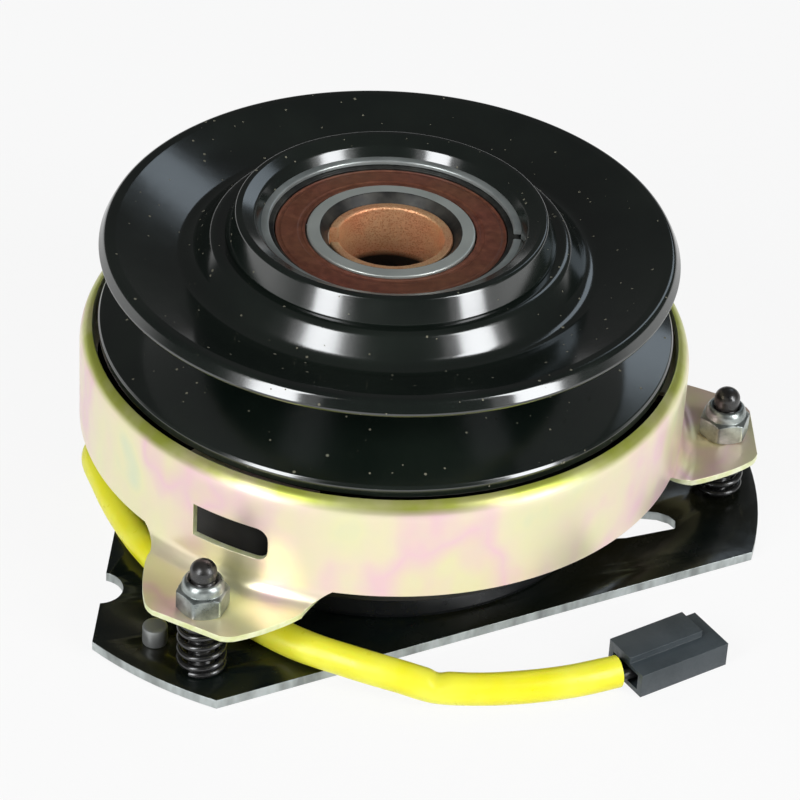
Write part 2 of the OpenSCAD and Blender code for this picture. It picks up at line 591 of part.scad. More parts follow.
// Hexagon locknuts with a round collar, threaded down onto the ears.
nut_turn = 10;
nut_cr = nut_af / 2 - 0.35;
module locknuts() color([0.58, 0.6, 0.6]) thrice() translate([stud_circle_r, 0, ear_top]) difference() {
  union() {
    intersection() {
      rotate([0, 0, nut_turn]) cylinder(r = nut_af / 2 / cos(30), h = nut_hex_h, $fn = 6);
      rotate_extrude() polygon([[0, 0], [nut_af / 2 - 0.1, 0], [nut_af / 2 + 0.9, 0.5],
        [nut_af / 2 + 0.9, nut_hex_h - 0.7], [nut_af / 2 - 0.5, nut_hex_h], [0, nut_hex_h]]);
    }
    rotate_extrude() polygon([[0, nut_hex_h - 1], [nut_cr, nut_hex_h - 1], [nut_cr, nut_hex_h],
      [nut_cr - 0.2, nut_h - 1.3], [nut_cr - 0.5, nut_h - 0.4], [nut_cr - 1, nut_h], [0, nut_h]]);
  }
  rod(stud_r + run_c, -1, nut_h + 1);
  rod(stud_r + 1.1, nut_h - 2.2, nut_h - 0.6);
}
// Nylon rings that grip the stud thread.
module locknut_inserts() color([0.12, 0.12, 0.12]) thrice()
  translate([stud_circle_r, 0, ear_top]) ring(stud_r + 1.1, stud_r + run_c, nut_h - 2.2, nut_h - 0.6);

// ---------------------------------------------------------------- lead and connector
// Centre line of the sleeve from the shell, round the field and out over the plate edge.
conn_az = 31;
on_plate = plate_t + lead_d / 2 + 0.1;
on_floor = lead_d / 2 + 0.05;
lead_dir = [cos(lead_az), sin(lead_az), 0];
LEAD = [[0, 0, lead_z] + (shell_r - shell_wall - 0.2) * lead_dir, [0, 0, lead_z] + (shell_r + 4) * lead_dir,
  [-67, 5, 8.6], [-70, -2, 8.8], [-67, -12, 8.2], [-62, -24, on_plate], [-55, -38, on_plate],
  [-45, -51, on_plate], [-32, -62, on_plate], [-20, -71, on_plate], [-8, -77, on_plate],
  [3, -80.8, on_plate - 0.8], [12, -82.8, on_floor + 0.4], [22, -82.9, on_floor],
  [33, -81.7, on_floor], [44, -79.2, on_floor], [54.8, -75.3, on_floor]];
module lead_sleeve() color([0.93, 0.88, 0.12]) tube(LEAD, lead_d / 2, 12);

wire_r = 1.3;
wire_z = on_floor;
wire_y = 2;
module at_conn() translate([LEAD[16][0], LEAD[16][1], 0]) rotate([0, 0, conn_az]) children();
conn_x0 = 2.2;
wire_end = conn_x0 + 6.5;
// offset of each terminal cavity from the housing's centre plane
cavity_y = 3.15;
// Two insulated wires bridging from the sleeve into the housing.
module lead_wires() color([0.1, 0.1, 0.1]) at_conn() for (s = [-1, 1])
  translate([0.9, s * wire_y, wire_z]) rotate([0, 90, 0]) cylinder(r = wire_r, h = wire_end - 0.9);

// Two-way plug housing with a stepped back and an open mating end.
module connector_body() color([0.26, 0.31, 0.33]) at_conn() difference() {
  translate([conn_x0, 0, 0]) union() {
    translate([0, -conn_w / 2, 0.05]) cube([conn_l, conn_w, conn_h * 0.78]);
    translate([0, -conn_w / 2 + 5.2, 0.05]) cube([conn_l - 4, conn_w - 5.2, conn_h - 0.05]);
  }
  // wire chamber at the lead end
  translate([conn_x0 - 1, -5, 1.4]) cube([8, 10, 4.05]);
  // terminal cavities through to the mating end
  for (s = [-1, 1]) translate([conn_x0 + 6, s * cavity_y - 2.2, 1.6]) cube([conn_l, 4.4, 3.4]);
}
// Crimped blade receptacles, one in each cavity.
module connector_terminals() color([0.72, 0.7, 0.6]) at_conn() for (s = [-1, 1]) difference() {
  union() {
    translate([conn_x0 + 8.2, s * cavity_y - 1.9, 1.7]) cube([10, 3.8, 2.4]);
    translate([wire_end, s * 2.7 - 0.7, 1.7]) cube([4, 1.4, 2.4]);
  }
  translate([conn_x0 + 11, s * cavity_y - 1.45, 2.3]) cube([10, 2.9, 1]);
}

mounting_plate();
mounting_studs();
stop_pin();
field_shell();
field_rivets();
coil_bobbin();
coil_winding();
coil_potting();
lead_grommet();
field_bearing_outer_ring();
field_bearing_clip();
field_bearing_balls();
field_bearing_cage();
field_bearing_inner_ring();
rotor();
friction_ring();
keyed_sleeve();
bearing_inner_ring();
bearing_balls();
bearing_cage();
bearing_outer_ring();
bearing_seal_top();
bearing_seal_bottom();
retaining_ring();
pulley_hub();
pulley_upper_flange();
pulley_lower_flange();
drive_rivets();
leaf_springs();
armature_rivets();
armature_plate();
brake_flange();
brake_brackets();
brake_linings();
adjust_springs();
locknuts();
locknut_inserts();
lead_sleeve();
lead_wires();
connector_body();
connector_terminals();
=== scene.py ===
import json
import math

import bmesh
import bpy
import numpy as np
from mathutils import Matrix, Vector

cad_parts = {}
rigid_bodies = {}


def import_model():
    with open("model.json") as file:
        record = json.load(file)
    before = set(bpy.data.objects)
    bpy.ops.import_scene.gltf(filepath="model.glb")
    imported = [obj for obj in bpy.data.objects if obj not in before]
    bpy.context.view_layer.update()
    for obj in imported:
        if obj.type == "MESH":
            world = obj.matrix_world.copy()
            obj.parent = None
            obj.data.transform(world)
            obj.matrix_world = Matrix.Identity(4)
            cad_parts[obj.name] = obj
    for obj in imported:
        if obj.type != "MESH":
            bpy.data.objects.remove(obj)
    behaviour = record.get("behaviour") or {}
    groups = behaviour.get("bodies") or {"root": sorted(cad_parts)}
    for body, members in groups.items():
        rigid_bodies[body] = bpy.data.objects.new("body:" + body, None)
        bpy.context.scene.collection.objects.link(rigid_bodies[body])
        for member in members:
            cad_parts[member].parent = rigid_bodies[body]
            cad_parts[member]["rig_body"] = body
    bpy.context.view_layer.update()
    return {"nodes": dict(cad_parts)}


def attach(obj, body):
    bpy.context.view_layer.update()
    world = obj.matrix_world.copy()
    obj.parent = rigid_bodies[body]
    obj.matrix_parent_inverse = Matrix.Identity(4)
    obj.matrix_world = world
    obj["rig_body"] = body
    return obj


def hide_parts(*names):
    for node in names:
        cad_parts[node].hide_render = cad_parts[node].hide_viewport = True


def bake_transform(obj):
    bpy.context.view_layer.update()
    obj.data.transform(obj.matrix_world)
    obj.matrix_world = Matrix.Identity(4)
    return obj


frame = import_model()

# ------------------------------------------------------------------ camera
# A long lens in front of the clutch and a little to its left, looking down on it. It is tipped
# slightly, so the right side of the clutch hangs lower in the picture.
camera_place = Vector((-0.0410, -0.7565, 0.5628))
camera_target = Vector((0.0045, -0.0003, 0.0274))
camera_roll = math.radians(3.4)
camera_data = bpy.data.cameras.new("camera")
camera_data.lens = 169.2
camera_data.sensor_width = 36.0
camera = bpy.data.objects.new("camera", camera_data)
bpy.context.scene.collection.objects.link(camera)
look = (camera_target - camera_place).to_track_quat("-Z", "Y").to_matrix()
look = look @ Matrix.Rotation(camera_roll, 3, "Z")
camera.matrix_world = Matrix.Translation(camera_place) @ look.to_4x4()
bpy.context.scene.camera = camera
bpy.context.scene.view_settings.view_transform = "Standard"

# ------------------------------------------------------------------ lead sleeve
# Yellow PVC tubing slipped over the two coil wires. It leaves the field shell through a rubber
# bushing, runs round under the brake cup, over the plate edge and lies on the bench. It is soft,
# so it is pinched where it drops off the plate, and its end is cut open.
mm = 0.001
lead_d = 8.0
lead_wall = 0.7
lead_z = 7.8
lead_turn = math.radians(172)
shell_in_r = 52.3
shell_out_r = 60.0
on_plate = 6.6
on_bench = 4.05
lead_sides = 40
cut_rows = 40
lead_points = np.array([
    (shell_in_r * math.cos(lead_turn), shell_in_r * math.sin(lead_turn), lead_z),
    (shell_out_r * math.cos(lead_turn), shell_out_r * math.sin(lead_turn), lead_z),
    (-67, 5, 8.6), (-70, -2, 8.8), (-67, -12, 8.2), (-62, -24, on_plate), (-55, -38, on_plate),
    (-45, -51, on_plate), (-32, -62, on_plate), (-20, -71, on_plate), (-8, -77, on_plate),
    (3, -80.8, on_plate - 0.8), (12, -82.8, on_bench + 0.4), (22, -82.9, on_bench),
    (33, -81.7, on_bench), (44, -79.2, on_bench), (54.8, -75.3, on_bench)])


def material(name, color, rough, metal=0.0, **sockets):
    """A finish whose steady numbers all sit on the shader's own sockets."""
    made = bpy.data.materials.new(name)
    made.use_nodes = True
    made["slot"] = name
    shader = made.node_tree.nodes["Principled BSDF"]
    shader.inputs["Base Color"].default_value = (*color, 1.0)
    shader.inputs["Roughness"].default_value = rough
    shader.inputs["Metallic"].default_value = metal
    for socket, value in sockets.items():
        shader.inputs[socket.replace("_", " ")].default_value = value
    return made


def add(made, kind, inputs, **settings):
    """A shader node in the material: an input given as another node's socket is linked to it."""
    node = made.node_tree.nodes.new("ShaderNode" + kind)
    for key, value in settings.items():
        setattr(node, key, value)
    for key, value in inputs.items():
        if isinstance(value, bpy.types.NodeSocket):
            made.node_tree.links.new(value, node.inputs[key])
        else:
            node.inputs[key].default_value = value
    return node


def where(made, stretch=(1, 1, 1)):
    """The place on the piece in millimetres, squeezed along an axis by a stretch above one."""
    place = add(made, "TexCoord", {}).outputs["Object"]
    scale = tuple(1 / (mm * s) for s in stretch)
    return add(made, "VectorMath", {0: place, 1: scale}, operation="MULTIPLY").outputs[0]


def cloud(made, size, place=None, detail=3.0, rough=0.55):
    """Soft noise from 0 to 1 whose blotches are about size millimetres across."""
    place = where(made) if place is None else place
    return add(made, "TexNoise", {"Vector": place, "Scale": 0.6 / size, "Detail": detail,
                                  "Roughness": rough}).outputs["Fac"]


def between(made, value, low, high, to_low, to_high):
    """The value's stretch from low to high spread over to_low to to_high, and held outside it."""
    return add(made, "MapRange", {"Value": value, "From Min": low, "From Max": high,
                                  "To Min": to_low, "To Max": to_high}).outputs["Result"]


def shades(made, value, *stops):
    """A colour ramp: each stop is a place from 0 to 1 and a colour."""
    node = add(made, "ValToRGB", {"Fac": value})
    steps = node.color_ramp.elements
    while len(steps) < len(stops):
        steps.new(0.5)
    for step, (at, color) in zip(steps, stops):
        step.position = at
        step.color = (*color, 1.0)
    return node.outputs["Color"]


def over(made, value, under, upper):
    """One colour laid over another by a mask value."""
    node = add(made, "Mix", {0: value, 6: under, 7: upper}, data_type="RGBA")
    return node.outputs[2]


def use(made, socket, value):
    """Feeds a pattern to a socket of the material's shader."""
    made.node_tree.links.new(value, made.node_tree.nodes["Principled BSDF"].inputs[socket])


def tinted(made, pattern, *stops):
    """Colours the material by a pattern from 0 to 1, through the stops of a ramp."""
    use(made, "Base Color", shades(made, pattern, *stops))


def polished(made, pattern, low, high):
    """Spreads the roughness from low to high over the middle of a pattern."""
    use(made, "Roughness", between(made, pattern, 0.3, 0.7, low, high))


def relief(made, height, depth):
    """Fine surface relief: a height from 0 to 1 stands for depth millimetres."""
    use(made, "Normal", add(made, "Bump", {"Height": height, "Distance": depth * mm}).outputs["Normal"])


def smooth_path(points, steps):
    """A smooth line through the points: between two of them it is the Catmull-Rom cubic."""
    ends = np.vstack([2 * points[0] - points[1], points, 2 * points[-1] - points[-2]])
    t = np.linspace(0, 1, steps, endpoint=False)[None, :, None]
    a, b, c, d = (ends[k:len(ends) - 3 + k, None, :] for k in range(4))
    line = 0.5 * (2 * b + (c - a) * t + (2 * a - 5 * b + 4 * c - d) * t ** 2
                  + (3 * b - a - 3 * c + d) * t ** 3)
    return np.vstack([line.reshape(-1, 3), points[-1:]])


def new_piece(name, points, faces, node, finish, rides=True):
    """A mesh from points in millimetres that stands for a CAD node. It rides on the node's body,
    unless rides is false, when it is left on no body."""
    mesh = bpy.data.meshes.new(name)
    mesh.from_pydata(np.asarray(points, float) * mm, [], [list(f) for f in faces])
    mesh.shade_smooth()
    mesh.set_sharp_from_angle(angle=math.radians(38))
    mesh.materials.append(finish)
    piece = bpy.data.objects.new(name, mesh)
    bpy.context.scene.collection.objects.link(piece)
    if rides:
        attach(piece, frame["nodes"][node]["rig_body"])
    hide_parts(node)
    return piece


def grid_faces(rows, cols, close_rows=False, close_cols=False):
    """Four-sided faces of a grid whose points are stored row after row."""
    i = np.arange(rows if close_rows else rows - 1)[:, None]
    j = np.arange(cols if close_cols else cols - 1)[None, :]
    i2, j2 = (i + 1) % rows, (j + 1) % cols
    corners = np.broadcast_arrays(i * cols + j, i * cols + j2, i2 * cols + j2, i2 * cols + j)
    return np.stack(corners, -1).reshape(-1, 4)


def sweep(path, across, up):
    """Rings of points round a path: each ring is the path point plus the given side and up offsets,
    measured along a level side direction and a direction square to both."""
    tangent = np.gradient(path, axis=0)
    tangent /= np.linalg.norm(tangent, axis=1, keepdims=True)
    side = np.cross([0.0, 0.0, 1.0], tangent)
    side /= np.linalg.norm(side, axis=1, keepdims=True)
    rise = np.cross(tangent, side)
    return path[:, None] + across[..., None] * side[:, None] + up[..., None] * rise[:, None]


def round_tube(path, radius, sides):
    """Rings of one radius round a path: the side offset is the cosine of the turn times the radius,
    and the up offset is its sine."""
    turn = np.linspace(0, 2 * np.pi, sides, endpoint=False)[None, :]
    level = np.ones((len(path), 1))
    return sweep(path, radius * np.cos(turn) * level, radius * np.sin(turn) * level)


def tube_faces(rows, sides):
    """The faces of a tube of rings, with one flat face on each of its two ends."""
    last = (rows - 1) * sides
    ends = [list(range(sides))[::-1], [last + k for k in range(sides)]]
    return [*grid_faces(rows, sides, close_cols=True).tolist(), *ends]


lead_path = smooth_path(lead_points, 16)
lead_run = np.concatenate([[0], np.linalg.norm(np.diff(lead_path, axis=0), axis=1).cumsum()])
off_plate = lead_points[12]
pinch_at = lead_run[np.argmin(np.linalg.norm(lead_path - off_plate, axis=1))]
pinch_long = 1.8
pinch_deep = 1.1
turn = np.linspace(0, 2 * np.pi, lead_sides, endpoint=False)[None, :]
# the pinch lowers the top of the tube over a few millimetres and widens its sides a little, and
# the wave of the sides is two sines along the run
pinch = np.exp(-((lead_run - pinch_at) / pinch_long) ** 2)[:, None]
wave = 0.10 * np.sin(lead_run / 5.3)[:, None] + 0.07 * np.sin(lead_run / 2.9 + 1.3)[:, None]
outer_side = (lead_d / 2 - 0.12 + wave * 0.6 + 0.1 * pinch) * np.cos(turn)
outer_rise = (lead_d / 2 - 0.05) * np.sin(turn) - pinch_deep * pinch * np.clip(np.sin(turn), 0, 1)
outer = sweep(lead_path, outer_side, outer_rise)
# the cut end is hollow for a short way
bore = round_tube(lead_path[-cut_rows:], lead_d / 2 - lead_wall, lead_sides)[::-1]
rings = np.concatenate([outer, bore])
yellow_pvc = material("yellow_pvc", (0.93, 0.84, 0.02), 0.34, IOR=1.5, Subsurface_Weight=0.15)
pvc_shader = yellow_pvc.node_tree.nodes["Principled BSDF"]
pvc_shader.inputs["Subsurface Radius"].default_value = (2 * mm, mm, 0.3 * mm)
creases = cloud(yellow_pvc, 7, None, 2)
tinted(yellow_pvc, creases, (0.3, (0.93, 0.86, 0.015)), (0.65, (0.98, 0.95, 0.075)))
polished(yellow_pvc, cloud(yellow_pvc, 1.5), 0.26, 0.45)
relief(yellow_pvc, creases, 0.25)
lead = new_piece("lead_tube", rings.reshape(-1, 3), tube_faces(len(rings), lead_sides), "lead_sleeve",
                 yellow_pvc)

# ------------------------------------------------------------------ connector and wires
# Two-way plug housing moulded in slate grey nylon, with a raised ridge along its rear side. Two
# black wires run from the sleeve into tinned brass receptacles, one in each cavity.
grey_nylon = material("grey_nylon", (0.05, 0.065, 0.075), 0.42, IOR=1.53)
grain = cloud(grey_nylon, 0.5, None, 4)
tinted(grey_nylon, cloud(grey_nylon, 6), (0.3, (0.031, 0.041, 0.047)), (0.7, (0.055, 0.068, 0.076)))
polished(grey_nylon, grain, 0.34, 0.52)
relief(grey_nylon, grain, 0.02)
black_wire = material("black_wire", (0.012, 0.012, 0.013), 0.35)
polished(black_wire, cloud(black_wire, 1), 0.28, 0.45)
tinned_brass = material("tinned_brass", (0.62, 0.60, 0.52), 0.3, 1.0)
tinted(tinned_brass, cloud(tinned_brass, 2), (0.35, (0.56, 0.50, 0.36)), (0.6, (0.66, 0.65, 0.60)))


def finish_cad(finish, *nodes):
    """Gives CAD nodes that stay in view their finish."""
    for node in nodes:
        frame["nodes"][node].data.materials.clear()
        frame["nodes"][node].data.materials.append(finish)


def softened(name, node, finish, edge, steps=3):
    """A copy of a CAD node, its loose triangles merged, with every sharp edge rounded by edge
    millimetres."""
    mesh = frame["nodes"][node].data.copy()
    mesh.name = name
    shape = bmesh.new()
    shape.from_mesh(mesh)
    bmesh.ops.remove_doubles(shape, verts=shape.verts, dist=0.002 * mm)
    bmesh.ops.dissolve_limit(shape, angle_limit=math.radians(0.6), verts=shape.verts, edges=shape.edges)
    for face in shape.faces:
        face.smooth = True
    shape.to_mesh(mesh)
    shape.free()
    mesh.materials.clear()
    mesh.materials.append(finish)
    piece = bpy.data.objects.new(name, mesh)
    bpy.context.scene.collection.objects.link(piece)
    rounding = piece.modifiers.new("rounding", "BEVEL")
    rounding.width = edge * mm
    rounding.segments = steps
    rounding.limit_method = "ANGLE"
    rounding.angle_limit = math.radians(38)
    rounding.harden_normals = True
    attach(piece, frame["nodes"][node]["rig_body"])
    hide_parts(node)
    return piece


softened("connector_housing", "connector_body", grey_nylon, 0.45)
plug_turn = math.radians(31)
plug_gap = 2.2
wire_r = 1.3
wire_sides = 20
apart_inside = 1.6
apart_at_plug = 2.0
into_plug = 6.5
# each wire is a round tube along a smooth line from inside the sleeve to its cavity
along = np.array([math.cos(plug_turn), math.sin(plug_turn), 0.0])
beside = np.array([-along[1], along[0], 0.0])
cut_end = lead_path[-1]
wire_points, wire_faces = [], []
for side in (-1, 1):
    inside = apart_inside * side * beside
    at_plug = apart_at_plug * side * beside
    wire_line = smooth_path(np.array([
        lead_path[-26] + inside, lead_path[-8] + inside, cut_end + plug_gap * along + at_plug,
        cut_end + (plug_gap + into_plug) * along + at_plug]), 8)
    tube = round_tube(wire_line, wire_r, wire_sides)
    base = wire_sides * len(tube) * len(wire_points)
    wire_faces += [[v + base for v in f] for f in tube_faces(len(tube), wire_sides)]
    wire_points.append(tube.reshape(-1, 3))
new_piece("wires", np.vstack(wire_points), wire_faces, "lead_wires", black_wire)
finish_cad(tinned_brass, "connector_terminals")

# ------------------------------------------------------------------ mounting plate
# Pressed from 2.5 mm steel sheet and painted gloss black, with three tips cut to an arc. The
# paint is thin and worn to grey metal along the sheared edges.
black_plate = material("black_plate", (0.008, 0.009, 0.008), 0.2, IOR=1.6)
stain = cloud(black_plate, 26, None, 2)
tinted(black_plate, stain, (0.42, (0.0045, 0.007, 0.006)), (0.66, (0.014, 0.013, 0.006)))
polished(black_plate, cloud(black_plate, 5), 0.12, 0.3)
relief(black_plate, cloud(black_plate, 2.2, None, 2), 0.03)
plate_edge = material("plate_edge", (0.42, 0.45, 0.45), 0.42, 0.6)
shear = cloud(plate_edge, 3.0, where(plate_edge, (1, 1, 3)), 3, 0.6)
tinted(plate_edge, shear, (0.34, (0.24, 0.26, 0.25)), (0.62, (0.50, 0.54, 0.53)))
relief(plate_edge, shear, 0.04)
plate = softened("plate", "mounting_plate", black_plate, 0.3, 2)
plate.data.materials.append(plate_edge)
worn_from_r = 50.0
for face in plate.data.polygons:
    cut_wall = abs(face.normal.z) < 0.5
    outside = math.hypot(face.center.x, face.center.y) > worn_from_r * mm
    face.material_index = 1 if cut_wall and outside else 0

# ------------------------------------------------------------------ studs and stop pin
# Quarter-inch studs pressed into the plate from below, blackened, with a rolled thread and a
# domed end. A plain grey pin stands beside one of them.
stud_circle_r = 85.5
stud_r = 3.175
stud_top = 33.0
thread_pitch = 1.27
thread_depth = 0.55
stud_angles = (0, 120, 240)
black_stud = material("black_stud", (0.012, 0.012, 0.012), 0.26, IOR=1.7)
oxide = cloud(black_stud, 1.6, None, 3)
tinted(black_stud, oxide, (0.4, (0.008, 0.008, 0.008)), (0.7, (0.03, 0.027, 0.024)))
polished(black_stud, oxide, 0.2, 0.4)


def thrice(points, faces):
    """The same shape, made about the z axis, set at each of the three studs."""
    points = np.asarray(points, float).reshape(-1, 3)
    faces = [list(f) for f in faces]
    all_points, all_faces = [], []
    for k, angle in enumerate(stud_angles):
        c, s = math.cos(math.radians(angle)), math.sin(math.radians(angle))
        moved = points + [stud_circle_r, 0, 0]
        all_points.append(moved @ np.array([[c, s, 0], [-s, c, 0], [0, 0, 1]]))
        all_faces += [[v + k * len(points) for v in face] for face in faces]
    return np.vstack(all_points), all_faces


def round_shell(radius, height, columns):
    """A closed shape round the z axis: radius may change with both row and column; the first and
    the last row are drawn together in one point on the axis."""
    angle = np.linspace(0, 2 * np.pi, columns, endpoint=False)[None, :]
    body = np.broadcast_arrays(radius * np.cos(angle), radius * np.sin(angle), height + 0 * angle)
    body = np.stack(body, -1)
    rows = len(body)
    poles = [(0, 0, float(np.mean(body[0, :, 2]))), (0, 0, float(np.mean(body[-1, :, 2])))]
    points = np.vstack([body.reshape(-1, 3), poles])
    ring = np.arange(columns)
    last = (rows - 1) * columns
    low_pole, high_pole = rows * columns, rows * columns + 1
    lower = [(low_pole, (k + 1) % columns, k) for k in ring]
    upper = [(high_pole, last + k, last + (k + 1) % columns) for k in ring]
    side = [tuple(f) for f in grid_faces(rows, columns, close_cols=True)]
    return points, side + lower + upper


# the thread is a triangle wave of height and turn together, fading out below the domed end, and
# the dome is a quarter of an ellipse
stud_sides = 48
stud_head_r = 4.375
head_top = 1.0
dome_h = 2.7
dome_rise = dome_h * (1 - np.sin(np.linspace(0.06, np.pi / 2, 16)))
thread_rows = np.concatenate([np.linspace(head_top, stud_top - dome_h, 220), stud_top - dome_rise])[:, None]
thread_turn = np.linspace(0, 1, stud_sides, endpoint=False)[None, :]
flank = np.abs(((thread_rows / thread_pitch - thread_turn) % 1) * 2 - 1)
fade_out = np.clip((stud_top - 4.3 - thread_rows) / 0.7, 0, 1)
fade_in = np.clip((thread_rows - 2.6) / 0.6, 0, 1)
up_dome = np.clip(thread_rows - stud_top + dome_h, 0, 3) / (dome_h + 0.02)
dome = stud_r * np.sqrt(np.clip(1 - up_dome ** 2, 0.001, 1))
cut = thread_depth * (fade_out * fade_in) * np.clip(1.25 * flank - 0.12, 0, 1)
thread_r = np.minimum(stud_r - cut, dome)
head = np.array([[4.3], [stud_head_r], [stud_head_r], [stud_r]]) + 0 * thread_turn
thread_r = np.vstack([head, thread_r])
thread_z = np.vstack([[[0.1]], [[0.2]], [[0.95]], [[head_top]], thread_rows])
stud = round_shell(thread_r, thread_z, stud_sides)
new_piece("studs", *thrice(*stud), "mounting_studs", black_stud)

pin_turn = math.radians(230.77)
pin_circle_r = 85.07
pin_x, pin_y = pin_circle_r * math.cos(pin_turn), pin_circle_r * math.sin(pin_turn)
grey_pin = material("grey_pin", (0.36, 0.37, 0.36), 0.42, 0.7)
polished(grey_pin, cloud(grey_pin, 1.2), 0.32, 0.55)
pin_profile = np.array([[2.0, 0.1], [2.0, 2.5], [2.7, 2.5], [2.9, 2.6], [3.0, 2.9], [3.0, 6.9],
                        [2.9, 7.25], [2.6, 7.42], [2.0, 7.5]])
pin_r = pin_profile[:, :1] * np.ones((1, stud_sides))
pin_points, pin_faces = round_shell(pin_r, pin_profile[:, 1:], stud_sides)
new_piece("stop_pin_turned", pin_points + [pin_x, pin_y, 0], pin_faces, "stop_pin", grey_pin)

# ------------------------------------------------------------------ field shell and coil
# A turned steel channel riveted to the plate holds the coil: enamelled copper wire on a moulded
# spool, sealed with black epoxy. A rubber bushing guards the lead where it leaves the shell.
black_steel = material("black_steel", (0.012, 0.013, 0.014), 0.3, IOR=1.6)
polished(black_steel, cloud(black_steel, 4), 0.2, 0.4)
relief(black_steel, cloud(black_steel, 1.2), 0.02)
finish_cad(black_steel, "field_shell")
steel_rivet = material("steel_rivet", (0.45, 0.44, 0.42), 0.35, 1.0)
tinted(steel_rivet, cloud(steel_rivet, 1.5), (0.3, (0.3, 0.29, 0.27)), (0.7, (0.55, 0.54, 0.52)))
finish_cad(steel_rivet, "field_rivets", "drive_rivets", "armature_rivets")
bobbin_plastic = material("bobbin_plastic", (0.62, 0.58, 0.46), 0.45, Subsurface_Weight=0.1)
polished(bobbin_plastic, cloud(bobbin_plastic, 2), 0.35, 0.55)
finish_cad(bobbin_plastic, "coil_bobbin")
copper_wire = material("copper_wire", (0.6, 0.22, 0.08), 0.25, 0.9)
layers = add(copper_wire, "TexWave", {"Vector": where(copper_wire), "Scale": 0.4, "Distortion": 0.6},
             bands_direction="Z").outputs["Fac"]
tinted(copper_wire, layers, (0.2, (0.25, 0.07, 0.02)), (0.7, (0.72, 0.28, 0.1)))
relief(copper_wire, layers, 0.2)
finish_cad(copper_wire, "coil_winding")
potting = material("potting", (0.02, 0.015, 0.012), 0.3)
relief(potting, cloud(potting, 8), 0.3)
finish_cad(potting, "coil_potting")
black_rubber = material("black_rubber", (0.015, 0.015, 0.015), 0.6)
relief(black_rubber, cloud(black_rubber, 0.4), 0.03)
finish_cad(black_rubber, "lead_grommet")


# ------------------------------------------------------------------ bearings
# The field sits on a thin ball bearing round the rotor hub; the pulley runs on a sealed
# 30 x 62 x 16 one. Rings are ground bearing steel with fine rings left by the wheel, cages are
# pressed strip, and the seals are red-brown rubber moulded with a shallow groove.
def reach(made):
    """How far a point is from the shaft axis plus its height, in millimetres: bands of it are the
    rings that turning leaves on any turned face."""
    x, y, z = add(made, "SeparateXYZ", {0: where(made)}).outputs[:3]
    across = add(made, "CombineXYZ", {0: x, 1: y}).outputs[0]
    radius = add(made, "VectorMath", {0: across}, operation="LENGTH").outputs["Value"]
    return add(made, "Math", {0: radius, 1: z}, operation="ADD").outputs[0]


def turned(made, size, detail=3.0):
    """Fine rings about size millimetres apart, as left by a lathe tool or a grinding wheel."""
    return add(made, "TexNoise", {"W": reach(made), "Scale": 1 / size, "Detail": detail},
               noise_dimensions="1D").outputs["Fac"]


bearing_steel = material("bearing_steel", (0.60, 0.64, 0.61), 0.36, 0.65)
ground = turned(bearing_steel, 0.25)
tinted(bearing_steel, cloud(bearing_steel, 9), (0.3, (0.60, 0.64, 0.60)), (0.7, (0.76, 0.80, 0.75)))
polished(bearing_steel, ground, 0.30, 0.46)
relief(bearing_steel, ground, 0.006)
ball_steel = material("ball_steel", (0.75, 0.75, 0.77), 0.08, 1.0)
polished(ball_steel, cloud(ball_steel, 0.6), 0.05, 0.12)
cage_steel = material("cage_steel", (0.5, 0.45, 0.32), 0.35, 1.0)
polished(cage_steel, cloud(cage_steel, 1), 0.28, 0.5)
finish_cad(ball_steel, "field_bearing_balls", "bearing_balls")
finish_cad(cage_steel, "field_bearing_cage", "bearing_cage")
finish_cad(bearing_steel, "field_bearing_outer_ring", "field_bearing_inner_ring")


def outline(*corners, arc=6, hold=0.12):
    """A closed outline of radius and height with round corners. Each corner is a radius, a height
    and a rounding in millimetres; the rounding is the circle that touches both sides, and one
    extra point is held just outside each end of it, so the flat sides stay flat when shaded."""
    made = []
    n = len(corners)
    for k, (x, y, *rest) in enumerate(corners):
        here = np.array([x, y], float)
        rounding = rest[0] if rest else 0.0
        back = np.array(corners[k - 1][:2], float) - here
        ahead = np.array(corners[(k + 1) % n][:2], float) - here
        back_len, ahead_len = np.linalg.norm(back), np.linalg.norm(ahead)
        back, ahead = back / back_len, ahead / ahead_len
        half = math.acos(max(-1.0, min(1.0, float(back @ ahead)))) / 2
        if rounding <= 0 or half > 1.56:
            made.append(here)
            continue
        reach_out = min(rounding / math.tan(half), 0.48 * back_len, 0.48 * ahead_len)
        rounding = reach_out * math.tan(half)
        middle = here + (back + ahead) / np.linalg.norm(back + ahead) * rounding / math.sin(half)
        start, stop = here + back * reach_out - middle, here + ahead * reach_out - middle
        spare = min(hold, 0.1 * min(back_len, ahead_len))
        made.append(here + back * (reach_out + spare))
        sweep_angle = math.pi - 2 * half
        for t in np.linspace(0, 1, arc):
            from_start, from_stop = math.sin((1 - t) * sweep_angle), math.sin(t * sweep_angle)
            made.append(middle + (from_start * start + from_stop * stop) / math.sin(sweep_angle))
        made.append(here + ahead * (reach_out + spare))
    return np.array(made)


